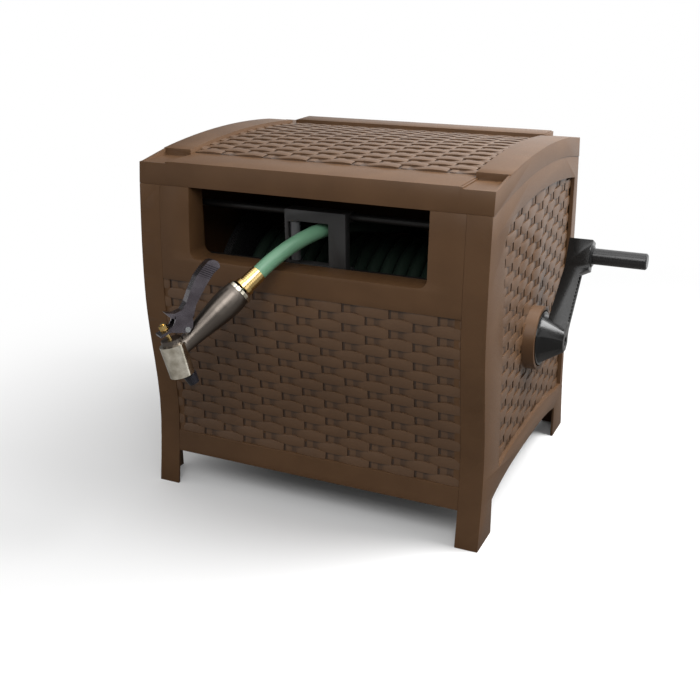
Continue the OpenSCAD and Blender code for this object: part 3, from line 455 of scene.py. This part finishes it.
def paint_shade_over(material, share, colour):
    """Lays a colour over a finish as painted shade, as far as the share from 0 to 1 says."""
    tree, base = material.node_tree, skin_of(material).inputs["Base Color"]
    mixed = add(tree, "Mix", {0: share, 6: base.links[0].from_socket, 7: linear(colour)},
                data_type="RGBA")
    tree.links.new(mixed.outputs[2], base)


# soft PVC: a waxy sheen, darkened inside the box by painted shade; its ribs are drawn as a 2 mm
# grain
vinyl = finish("ribbed_garden_vinyl", "#6b9779", 0.36, grain=0.4, grain_mm=2.0,
               second="#628e71")
tree = vinyl.node_tree
along = add(tree, "SeparateXYZ", {0: add(tree, "TexCoord").outputs["Object"]}).outputs["Y"]
painted_shade_inside = add(tree, "MapRange", {0: along, 1: SHADE_BEGINS_Y, 2: SHADE_FULL_Y},
                 interpolation_type="SMOOTHSTEP")
# painted shade: the hose inside the box is darkened to a dim grey green
paint_shade_over(vinyl, painted_shade_inside, "#26332b")
print("hose finish", vinyl.name)

# %% [markdown]
# The nozzle is cast zinc with plate and paint on it, its fittings are turned brass, and rods,
# pins and screws are steel. A metal has nearly no colour of its own but what it mirrors, so
# each one here is told apart by its tint, its sharpness and the unevenness under it.

# %% Metals
# turned brass: a sharp warm shine
brass = finish("machined_brass", "#e0c486", 0.17, metallic=1.0, grain=0.1, grain_mm=0.8,
               second="#d2b06c")
# chrome plate over a slightly uneven casting: a bright mirror that wobbles every 4 mm
chrome = finish("chrome_plate", "#f0eadb", 0.12, metallic=1.0, grain=0.5, grain_mm=4,
                depth_mm=0.25, second="#bab3a2", patch_mm=16)
# thin dark paint on cast zinc: the metal still shines through, dull and grey
zinc = finish("dark_zinc_paint", "#6f6861", 0.36, metallic=1.0, grain=0.12, grain_mm=1.0,
              second="#625b55")
# dark plate on the lever: glossier than the paint, with a violet cast
lever_paint = finish("violet_black_plate", "#6f6a70", 0.28, metallic=1.0, grain=0.1,
                     grain_mm=1.0, second="#565055", patch_mm=25)
# enamel on the tip: nearly black, with a faint blue metallic shine
tip_paint = finish("blue_black_enamel", "#2b2a31", 0.28, metallic=0.4, grain=0.1,
                   grain_mm=1.5, second="#24242a")
# blackened steel rod, drawn through a die: dull, with fine lines along the rod
rod_steel = finish("dark_drawn_rod", "#232221", 0.42, metallic=0.5, grain=0.2, grain_mm=1.0,
                   stretch=(0.05, 1, 1))
# bright drawn steel of pins and screws: a pale shine, with lines along the draw
steel = finish("drawn_steel", "#a9abac", 0.28, metallic=1.0, grain=0.25, grain_mm=1.0,
               stretch=(0.05, 1, 1))
print("metals", brass.name, chrome.name, zinc.name, lever_paint.name, steel.name)

# %% [markdown]
# Front and rear of the moulded case swell in an S from shoulder to foot, and the lid is a low
# arch. Their outlines are written out as formulas, as in the CAD source, because the weave is
# laid on them later.

# %% Outlines of front, rear and lid
CORNER_H, SHOULDER_Y = 510.3, 242
BELLY_H, BELLY_OUT = 340, 9.3
WAIST_H, WAIST_Y, WAIST_IN, FOOT_OUT = 132, 235, 16.3, 16
WALL = 4
LID_FIELD_H, LID_SAG, LID_HALF = 554.7, 9.3, 170


def skin_y(z):
    """Depth of the S-shaped front and rear at a height."""
    if z > BELLY_H:
        fall = (CORNER_H - z) / (CORNER_H - BELLY_H)
        return SHOULDER_Y + BELLY_OUT * math.sin(math.pi / 2 * fall)
    if z > WAIST_H:
        fall = (BELLY_H - z) / (BELLY_H - WAIST_H)
        return WAIST_Y + WAIST_IN * (1 + math.cos(math.pi * fall)) / 2
    return WAIST_Y + FOOT_OUT * ((WAIST_H - max(z, 0)) / WAIST_H) ** 1.4


def lid_ground(y):
    """Height of the lid's woven field, which curves down to the front and to the rear."""
    return LID_FIELD_H - LID_SAG * (y / LID_HALF) ** 2


print("belly", round(skin_y(BELLY_H), 1), "and waist", round(skin_y(WAIST_H), 1), "mm out")

# %% [markdown]
# The woven field of each side is bounded by the low arch between the legs, by the lid's arch
# and by the two legs, of which the front one leans out. A point is squeezed into it by
# moving it to the nearest edge, first up or down and then to the front or rear.

# %% Outline of the side fields
LEG_IN, BASE_H, BASE_DROP, BASE_RAIL = 187, 74, 16, 34
ARCH_HALF, ARCH_RISE, HEAD_H = 237, 22.8, 36
FRONT_EDGE, REAR_EDGE = -170, 222
FOOT_EDGE, LOW_EDGE, HIGH_EDGE = -158, -159, -178
FOOT_RISE, KNEE, CUT = 20, 25, 26
RIDGE_H, RIDGE_Y, RIDGE_HALF, RIDGE_FROM, RIDGE_RISE = 2.4, 40, 20, 240, 40


def clamp(x, low, high):
    return min(max(x, low), high)


def side_low(y):
    return BASE_H - BASE_DROP * min(1, abs(y) / LEG_IN) ** 3 + BASE_RAIL


def side_high(y):
    return CORNER_H + ARCH_RISE * (1 - min(1, abs(y) / ARCH_HALF) ** 2) - HEAD_H


def side_front(z):
    """The field's front edge: upright over the foot, then leaning out, and cut off on top."""
    low, knee = side_low(LEG_IN) + FOOT_RISE, side_high(HIGH_EDGE) - KNEE
    if z < low:
        return FOOT_EDGE
    if z < knee:
        return LOW_EDGE + (HIGH_EDGE - LOW_EDGE) * (z - low) / (knee - low)
    return HIGH_EDGE + CUT * clamp((z - knee) / KNEE, 0, 1)


def in_side(y, z):
    near = clamp(y, FRONT_EDGE, REAR_EDGE)
    z = clamp(z, side_low(near), side_high(near))
    return clamp(y, side_front(z), REAR_EDGE), z


def ridge(y, z):
    """The soft swelling above the reel's axle, from the hub to the top."""
    rise = clamp((z - RIDGE_FROM) / RIDGE_RISE, 0, 1)
    return RIDGE_H * math.exp(-((y - RIDGE_Y) / RIDGE_HALF) ** 2) * rise


print("side field from", round(side_low(0)), "to", round(side_high(0)), "mm up")

# %% [markdown]
# The CAD panels have the right shape, but their edges are knife sharp, and no moulded part
# has those. A copy of each is cleaned and given small rounded edges with a Bevel modifier,
# which catch a thin line of light, and it stands for its node. Three panels need no more.

# %% Easing the moulded panels
CASE_EDGE, MERGE = 1.2, 0.00002
EDGE_ANGLE, SMOOTH_ANGLE, FLAT_ANGLE = math.radians(30), math.radians(32), math.radians(0.3)


def wear(piece, material):
    piece.data.materials.clear()
    piece.data.materials.append(material)


def eased(node, width, body, material, press=None):
    """A cleaned copy of a node with edges rounded by width, in mm. press moves a vertex of the
    copy, from and to cabinet millimetres."""
    piece = bpy.data.objects.new(node + "_eased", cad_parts[node].data.copy())
    bpy.context.scene.collection.objects.link(piece)
    for v in piece.data.vertices if press else ():
        v.co = at(*press(v.co.x * 1000 - CABINET_X, v.co.y * 1000, v.co.z * 1000))
    only(piece)
    bpy.ops.mesh.customdata_custom_splitnormals_clear()
    bpy.ops.object.mode_set(mode="EDIT")
    bpy.ops.mesh.select_all(action="SELECT")
    bpy.ops.mesh.remove_doubles(threshold=MERGE)
    bpy.ops.mesh.dissolve_degenerate(threshold=MERGE)
    bpy.ops.mesh.dissolve_limited(angle_limit=FLAT_ANGLE)
    bpy.ops.mesh.normals_make_consistent(inside=False)
    bpy.ops.object.mode_set(mode="OBJECT")
    soft_edges = piece.modifiers.new("soft_edges", "BEVEL")
    soft_edges.width = mm(width)
    soft_edges.segments = 2
    soft_edges.limit_method = "ANGLE"
    soft_edges.angle_limit = EDGE_ANGLE
    soft_edges.use_clamp_overlap = True
    bpy.ops.object.modifier_apply(modifier="soft_edges")
    bpy.ops.object.shade_smooth_by_angle(angle=SMOOTH_ANGLE)
    wear(piece, material)
    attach(piece, body)
    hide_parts(node)
    print(piece.name, len(piece.data.polygons), "faces")


for node in ("left_side_panel", "right_side_panel", "front_panel"):
    eased(node, CASE_EDGE, "case", resin)

# %% [markdown]
# Lid and rear panel have plain woven rows in the CAD. In their copies these rows are pressed
# flat, by moving each vertex that stands proud of the field down to its ground, and the
# modelled weave takes their place later. The limits are a little outside the field's edges.

# %% Rear panel and lid
REAR_HALF_X, REAR_LOW, REAR_HIGH, REAR_PROUD = 247.5, 95, 470, 3.9
LID_HALF_X, LID_FRONT, LID_REAR, LID_PROUD = 235.2, -166, 190.2, 4.5


def press_rear(x, y, z):
    ground = skin_y(z) - WALL
    in_field = abs(x) < REAR_HALF_X and REAR_LOW < z < REAR_HIGH
    return (x, ground, z) if in_field and 0 < y - ground < REAR_PROUD else (x, y, z)


def press_lid(x, y, z):
    ground = lid_ground(y)
    in_field = abs(x) < LID_HALF_X and LID_FRONT < y < LID_REAR
    return (x, y, ground) if in_field and 0 < z - ground < LID_PROUD else (x, y, z)


eased("rear_panel", CASE_EDGE, "case", resin, press=press_rear)
eased("lid", CASE_EDGE, "lid", resin, press=press_lid)

# %% [markdown]
# The crank's hub is a cone with eight flat sides. The solid has the plain cone, so the copy's
# two rings of vertices are drawn in to an octagon, which leaves flat facets between them.

# %% The crank's arm and hub
CRANK_EDGE = 0.7
HUB_X, HUB_LONG, HUB_R, HUB_TOP_R = 297, 37, 41, 18
HUB_REACH, RING_REACH = 0.5, 0.1
CRANK_ANGLE = math.radians(25)
FACET = math.pi / 4


def press_hub(x, y, z):
    side, up = y - AXLE_Y, z - AXLE_Z
    cone_r = HUB_R - (HUB_R - HUB_TOP_R) * (x - HUB_X) / HUB_LONG
    on_cone = abs(math.hypot(side, up) - cone_r) <= HUB_REACH
    if not (on_cone and HUB_X - RING_REACH < x < HUB_X + HUB_LONG + RING_REACH):
        return x, y, z
    off_middle = (math.atan2(up, side) + CRANK_ANGLE) % FACET - FACET / 2
    k = math.cos(FACET / 2) / math.cos(off_middle)
    return x, AXLE_Y + side * k, AXLE_Z + up * k


eased("crank_arm", CRANK_EDGE, "reel", crank_nylon, press=press_hub)

# %% [markdown]
# The crank's arm is an open channel that gets shallower towards its end, with thin ribs
# across it. Each rib is a plate between the channel's floor and its lip, with its outer edges
# bevelled. A loop makes them upright over the origin and moves them into the turned arm.

# %% Ribs in the crank's arm
RIBS, RIB_STEP, RIB_FIRST, RIB_WIDE, RIB_THICK, RIB_EDGE = 13, 6, 35, 18.4, 1.8, 0.6
OUTER_FACE = 5  # a face this far out from the rib's middle is its outer one
JOINED_ANGLE = math.radians(40)


def choose(piece, kind, test):
    """In edit mode, selects the verts, edges or faces whose middle passes the test."""
    bpy.ops.mesh.select_mode(type=kind[:-1].upper())
    bpy.ops.mesh.select_all(action="DESELECT")
    shape = bmesh.from_edit_mesh(piece.data)
    for part in getattr(shape, kind):
        points = [part.co] if kind == "verts" else [v.co for v in part.verts]
        if test(sum(points, Vector()) / len(points)):
            part.select = True
    shape.select_flush_mode()
    bmesh.update_edit_mesh(piece.data)


def channel_floor(along):
    """Where the channel's floor lies, 308 mm out at 32 mm along and 11 more 80 mm on."""
    return 308 + 11 * (along - 32) / 80


def channel_lip(along):
    """Where the channel's lip lies, 333.4 mm out at 22 mm along and 7 more 89 mm on."""
    return 333.4 + 7 * (along - 22) / 89


ribs = []
for along in range(RIB_FIRST, RIB_FIRST + RIB_STEP * RIBS, RIB_STEP):
    floor_x, lip_x = channel_floor(along), channel_lip(along)
    bpy.ops.object.select_all(action="DESELECT")
    bpy.ops.mesh.primitive_cube_add(size=1)
    rib = bpy.context.object
    rib.scale = (mm(lip_x - floor_x), mm(RIB_WIDE), mm(RIB_THICK))
    bpy.ops.object.transform_apply(location=False, rotation=False, scale=True)
    bpy.ops.object.mode_set(mode="EDIT")
    choose(rib, "faces", lambda m: m.x > mm(OUTER_FACE))
    bpy.ops.mesh.bevel(offset=mm(RIB_EDGE), segments=2, affect="EDGES")
    bpy.ops.object.mode_set(mode="OBJECT")
    rib.data.transform(Matrix.Translation(at(0, AXLE_Y, AXLE_Z))
                       @ Matrix.Rotation(-CRANK_ANGLE, 4, "X")
                       @ Matrix.Translation((mm((lip_x + floor_x) / 2), 0, mm(along))))
    ribs.append(rib)
only(*ribs)
bpy.ops.object.join()
ladder = bpy.context.object
ladder.name = "crank_ribs"
bpy.ops.object.shade_smooth_by_angle(angle=JOINED_ANGLE)
wear(ladder, crank_nylon)
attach(ladder, "reel")
print(ladder.name, len(ribs), "ribs,", len(ladder.data.polygons), "faces")

# %% [markdown]
# The guide's carriage is a small moulding that leads the hose and slides on its two rods. Its
# solid has all its shape, so its copy only gets softer edges.

# %% The guide's carriage
CARRIAGE_EDGE = 0.8

eased("guide_carriage", CARRIAGE_EDGE, "guide", guide_plastic)

# %% [markdown]
# The lever has fine grooves under the fingers, 3 mm apart, between 8 and 28 mm from its tip.
# They could be cut into the solid, but they are very shallow, so their shade is painted into
# the lever's colour: the distance from the tip, measured along the lever, drives a sine wave.

# %% Grooves on the lever
GROOVE_STEP = 3.0
GROOVES_FROM, GROOVES_TO = (7, 9), (27, 29)  # where they fade in and out, from the tip

tip = max((v.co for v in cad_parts["squeeze_lever"].data.vertices), key=lambda c: c.z)
rivet = sum((Vector(corner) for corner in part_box("lever_rivet")), Vector()) / 2
tree = lever_paint.node_tree
from_tip = add(tree, "VectorMath", {0: add(tree, "TexCoord").outputs["Object"], 1: tip},
               operation="SUBTRACT")
down = add(tree, "VectorMath", {0: from_tip, 1: (rivet - tip).normalized()},
           operation="DOT_PRODUCT").outputs["Value"]
angle = add(tree, "Math", {0: down, 1: 2 * math.pi / mm(GROOVE_STEP)}, operation="MULTIPLY")
wave = add(tree, "Math", {0: angle}, operation="SINE")
groove = add(tree, "MapRange", {0: wave, 1: 0.3, 2: 0.8})
upper = add(tree, "MapRange", {0: down, 1: mm(GROOVES_FROM[0]), 2: mm(GROOVES_FROM[1])})
lower = add(tree, "MapRange", {0: down, 1: mm(GROOVES_TO[0]), 2: mm(GROOVES_TO[1]),
                               3: 1.0, 4: 0.0})
zone = add(tree, "Math", {0: upper, 1: lower}, operation="MULTIPLY")
dark = add(tree, "Math", {0: groove, 1: zone}, operation="MULTIPLY")
# painted shade: the grooves darken to a near black
paint_shade_over(lever_paint, dark, "#262428")
print("lever", round((rivet - tip).length * 1000), "mm from rivet to tip")

# %% [markdown]
# Real wicker is flat strands that pass over one stake and behind the next, and the mould
# copies that. Its slits look dark, because hardly any light reaches them, and that shade is
# painted into the colour. So each float of the weave carries its height along as an attribute,
# and the finish goes by it from a dark brown painted shade at the ground to the plain resin.

# %% Moulded wicker
FULL_H = 3.0
ENDS = (2.5, 72)
# painted shade: the low parts of the weave are darkened
SLIT_SHARE = 0.45  # up to this share of the full height the resin is darkened


def mark_relief(piece):
    """Keeps each vertex's height as an attribute, 0 on the two end faces and 1 at the top."""
    depth = piece.data.attributes.new("relief", "FLOAT", "POINT")
    for v in piece.data.vertices:
        end = v.select and not mm(ENDS[0]) < v.co.x < mm(ENDS[1])
        depth.data[v.index].value = 0.0 if end else min(v.co.z * 1000 / FULL_H, 1.0)


# the case's polypropylene again, with painted shade in its slits and a little more shine on its
# floats
wicker = resin.copy()
wicker.name = "moulded_wicker"
tree = wicker.node_tree
relief = add(tree, "Attribute", attribute_name="relief").outputs["Fac"]
painted_slit_shade = add(tree, "MapRange", {0: relief, 1: 0.0, 2: SLIT_SHARE, 3: 1.0, 4: 0.0},
             interpolation_type="SMOOTHSTEP")
# painted shade: the slits darken to a dark brown towards the ground
paint_shade_over(wicker, painted_slit_shade, "#38271a")
skin_of(wicker).inputs["Specular IOR Level"].default_value = 0.6
print("woven finish", wicker.name)

# %% [markdown]
# Each float is 75 mm long and 15 mm high. It starts low, in the shade of the row above,
# swells and laps over its neighbour like a fish scale, and ends in a dark slit, beside which
# a piece of the stake shows. One float is modelled from a plane, by extruding its end edge
# station by station, and then its long edges are lowered and its rim is drawn down.

# %% One float
# each station: place along the float, height of its middle, and how far it laps over
STATIONS = [(12.6, 0.5, 0.0), (19, 0.6, 0.0), (26, 1.3, 0.0), (33, 2.2, 0.8), (41, 2.9, 2.1),
            (49, 3.3, 3.0), (57, 3.3, 2.6), (64, 2.9, 1.4), (70, 2.4, 0.2), (72.8, 1.7, 0.0)]
STAKE = (1.8, 11.6, 1.1)  # start and end of the stake that shows, and its height
ROW_GAP, EDGE_DROP, EDGE_SHARE, SHOULDER_SHARE = 0.4, 0.5, 0.45, 0.3
LAP_DROP, LAP_SHARE, MIDDLE_HALF, NEAR = 0.1, 0.5, 2, 0.5
LIP, SKIRT = 0.2, 2.7


def model_float(row):
    """One float along X from its slit, its row along Y, in metres."""
    start, x, h = STAKE
    edge, shoulder = mm(row * EDGE_SHARE), mm(row * SHOULDER_SHARE)
    bpy.ops.mesh.primitive_plane_add(size=1, location=(mm(start + x) / 2, 0, mm(h)))
    piece = bpy.context.object
    piece.scale = (mm(x - start), mm(row - ROW_GAP), 1)
    bpy.ops.object.transform_apply(location=True, rotation=True, scale=True)
    bpy.ops.object.mode_set(mode="EDIT")
    choose(piece, "edges", lambda m: abs(m.y) < 1e-6)
    bpy.ops.mesh.subdivide(number_cuts=3)
    choose(piece, "edges", lambda m: abs(m.x - mm(x)) < 1e-6)
    for next_x, next_h, _ in STATIONS:
        bpy.ops.mesh.extrude_region_move(
            TRANSFORM_OT_translate={"value": (mm(next_x - x), 0, mm(next_h - h))})
        x, h = next_x, next_h
    for test in (lambda m: m.y < -edge, lambda m: m.y > edge):
        choose(piece, "verts", test)
        bpy.ops.transform.translate(value=(0, 0, mm(-EDGE_DROP)))
    for x, _, lap in STATIONS:
        choose(piece, "verts", lambda m: m.y > edge and abs(m.x - mm(x)) < mm(NEAR))
        bpy.ops.transform.translate(value=(0, mm(lap), mm(-LAP_DROP * lap)))
        choose(piece, "verts",
               lambda m: mm(MIDDLE_HALF) < m.y < shoulder and abs(m.x - mm(x)) < mm(NEAR))
        bpy.ops.transform.translate(value=(0, mm(lap * LAP_SHARE), 0))
    bpy.ops.mesh.select_mode(type="EDGE")
    bpy.ops.mesh.select_all(action="DESELECT")
    bpy.ops.mesh.select_non_manifold()
    bpy.ops.mesh.extrude_region_move(TRANSFORM_OT_translate={"value": (0, 0, mm(-LIP))})
    bpy.ops.object.mode_set(mode="OBJECT")
    mark_relief(piece)
    only(piece)
    bpy.ops.object.mode_set(mode="EDIT")
    bpy.ops.mesh.extrude_region_move(TRANSFORM_OT_translate={"value": (0, 0, mm(-SKIRT))})
    bpy.ops.object.mode_set(mode="OBJECT")
    return piece


print("float with", len(STATIONS), "stations, up to", max(h for _, h, _ in STATIONS), "mm high")

# %% [markdown]
# In the weave every row is the same, but neighbouring rows are shifted by one stake. So the
# float is copied along a row at every second stake, each copy with its own mesh, and the rows
# are laid one after another.

# %% Floats in rows
FLOAT_PITCH = 37.5
ROW_ROOM = 3


def lay_floats(one, u_span, v_span, first, pitch, row):
    """Copies of the float, at every second stake of each row."""
    copies = []
    low = math.ceil((v_span[0] + ROW_ROOM - first[1]) / row - 0.5)
    high = math.floor((v_span[1] - ROW_ROOM - first[1]) / row + 0.5)
    for j in range(low, high + 1):
        start = first[0] + pitch * (j % 2)
        start += 2 * pitch * math.floor((u_span[0] - start) / (2 * pitch))
        while start < u_span[1]:
            copy = one.copy()
            copy.data = one.data.copy()
            bpy.context.scene.collection.objects.link(copy)
            copy.data.transform(Matrix.Translation((mm(start), mm(first[1] + row * j), 0))
                                @ Matrix.Diagonal((pitch / FLOAT_PITCH, 1, 1, 1)))
            copies.append(copy)
            start += 2 * pitch
    return copies


print("stakes", FLOAT_PITCH, "mm apart")

# %% [markdown]
# The copies are joined with a flat ground, squeezed into the field's outline, and the sheet is
# laid on the curved panel. Floats could be placed on the panel one by one, but a sheet that
# was modelled flat follows the curve with every vertex.

# %% A sheet of weave
GROUND_CUTS, GROUND_H = 60, 0.1
FLATTEN, FULL_LIFT = 0.25, 3  # floats are up to a quarter flatter where the ground is lifted


def lay_ground(u_span, v_span):
    bpy.ops.mesh.primitive_grid_add(x_subdivisions=GROUND_CUTS, y_subdivisions=GROUND_CUTS,
                                    size=1)
    ground = bpy.context.object
    for v in ground.data.vertices:
        v.co = Vector((mm(u_span[0] + (v.co.x + 0.5) * (u_span[1] - u_span[0])),
                       mm(v_span[0] + (v.co.y + 0.5) * (v_span[1] - v_span[0])), mm(GROUND_H)))
    return ground


def weave(name, u_span, v_span, first, pitch, row, inside, onto, body, lift=None):
    """Lays floats over a field. first is the place of one slit; inside squeezes a point into
    the outline, onto puts (u, v, height) on the cabinet, and lift raises the ground."""
    one = model_float(row)
    copies = lay_floats(one, u_span, v_span, first, pitch, row)
    ground = lay_ground(u_span, v_span)
    bpy.data.objects.remove(one)
    only(ground, *copies)
    bpy.ops.object.join()
    sheet = bpy.context.object
    sheet.name = name
    for v in sheet.data.vertices:
        u, w = inside(v.co.x * 1000, v.co.y * 1000)
        extra = lift(u, w) if lift else 0.0
        flat = 1 - FLATTEN * min(extra, FULL_LIFT) / FULL_LIFT
        v.co = onto(u, w, v.co.z * 1000 * flat + extra)
    only(sheet)
    bpy.ops.object.mode_set(mode="EDIT")
    bpy.ops.mesh.select_all(action="SELECT")
    bpy.ops.mesh.dissolve_degenerate(threshold=MERGE)
    bpy.ops.object.mode_set(mode="OBJECT")
    bpy.ops.object.shade_smooth_by_angle(angle=JOINED_ANGLE)
    wear(sheet, wicker)
    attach(sheet, body)
    print(name, len(copies), "floats,", len(sheet.data.polygons), "faces")


print("ground under each weave divided", GROUND_CUTS, "times each way")

# %% [markdown]
# Front and rear share one pattern, which is laid on the S of the panels. The place of one
# slit, the spacing of the stakes and the height of a row were read from the photograph.

# %% Weave front and rear
PANEL_X, PANEL_LOW, FRONT_TOP, REAR_TOP = 247.2, 95, 363.5, 470
PANEL_PITCH, PANEL_ROW = 37.4, 15.05
PANEL_SPAN = (-PANEL_X, PANEL_X)
PANEL_WEAVE = ((27.2 - PANEL_PITCH, 355.0), PANEL_PITCH, PANEL_ROW)


def panel_field(top):
    return lambda u, v: (clamp(u, -PANEL_X, PANEL_X), clamp(v, PANEL_LOW, top))


weave("front_wicker", PANEL_SPAN, (PANEL_LOW, FRONT_TOP), *PANEL_WEAVE, panel_field(FRONT_TOP),
      lambda u, v, h: at(u, -(skin_y(v) - WALL + h), v), "case")
weave("rear_wicker", PANEL_SPAN, (PANEL_LOW, REAR_TOP), *PANEL_WEAVE, panel_field(REAR_TOP),
      lambda u, v, h: at(-u, skin_y(v) - WALL + h, v), "case")

# %% [markdown]
# On both sides the floats lap the other way, so the same float is laid upside down there: the
# weave is made in turned coordinates, and depth and height change their sign on the way to
# the cabinet. Here the ground also follows the swelling above the axle.

# %% Weave the sides
SIDE_X = 275.2
SIDE_SPANS = ((-222, 180), (-500, -90))
SIDE_WEAVE = ((1.5, -422.2), 37.2, 15.5)


def turned_side(u, v):
    y, z = in_side(-u, -v)
    return -y, -z


def turned_ridge(u, v):
    return ridge(-u, -v)


weave("crank_side_wicker", *SIDE_SPANS, *SIDE_WEAVE, turned_side,
      lambda u, v, h: at(SIDE_X + h, -u, -v), "case", turned_ridge)
weave("inlet_side_wicker", *SIDE_SPANS, *SIDE_WEAVE, turned_side,
      lambda u, v, h: at(-SIDE_X - h, -u, -v), "case", turned_ridge)

# %% [markdown]
# The lid's field is a plain rectangle on a low arch. Its rows run from side to side, as those
# of the front do, and its weave opens with the lid.

# %% Weave the lid
LID_X, LID_SPAN = 234.8, (-158.5, 189.5)
LID_WEAVE = ((2, -134.5), 37.5, 14.8)

weave("lid_wicker", (-LID_X, LID_X), LID_SPAN, *LID_WEAVE,
      lambda u, v: (clamp(u, -LID_X, LID_X), clamp(v, *LID_SPAN)),
      lambda u, v, h: at(u, v, lid_ground(v) + h), "lid")

# %% [markdown]
# The shapes of reel, nozzle, rods, rollers and screws are right as they are, so these nodes
# stay and only get their finishes. One table says which piece is made of what.

# %% Finishes of the other pieces
FINISHES = {
    nylon: ("left_bushing right_bushing inlet_tube drum_core left_flange right_flange "
            "outlet_elbow handle_grip handle_spindle"),
    resin: "inlet_cover",
    rod_steel: "upper_guide_rod lower_guide_rod",
    roller_plastic: "left_guide_roller right_guide_roller",
    steel: ("panel_screws hinge_pins cover_screws flange_screws crank_screw "
            "guide_roller_pins lever_rivet"),
    rubber: "inlet_o_rings hose_washer",
    brass: "hose_tail_coupling hose_coupling valve_stem adjusting_nut",
    chrome: "nozzle_collar nozzle_head",
    zinc: "nozzle_body",
    lever_paint: "squeeze_lever",
    tip_paint: "nozzle_tip",
}
for material, names in FINISHES.items():
    for node in names.split():
        wear(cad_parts[node], material)
for piece in (hose_end_piece, outer, inner, lead, tail):
    wear(piece, vinyl)
print("finished nodes", sum(len(names.split()) for names in FINISHES.values()))
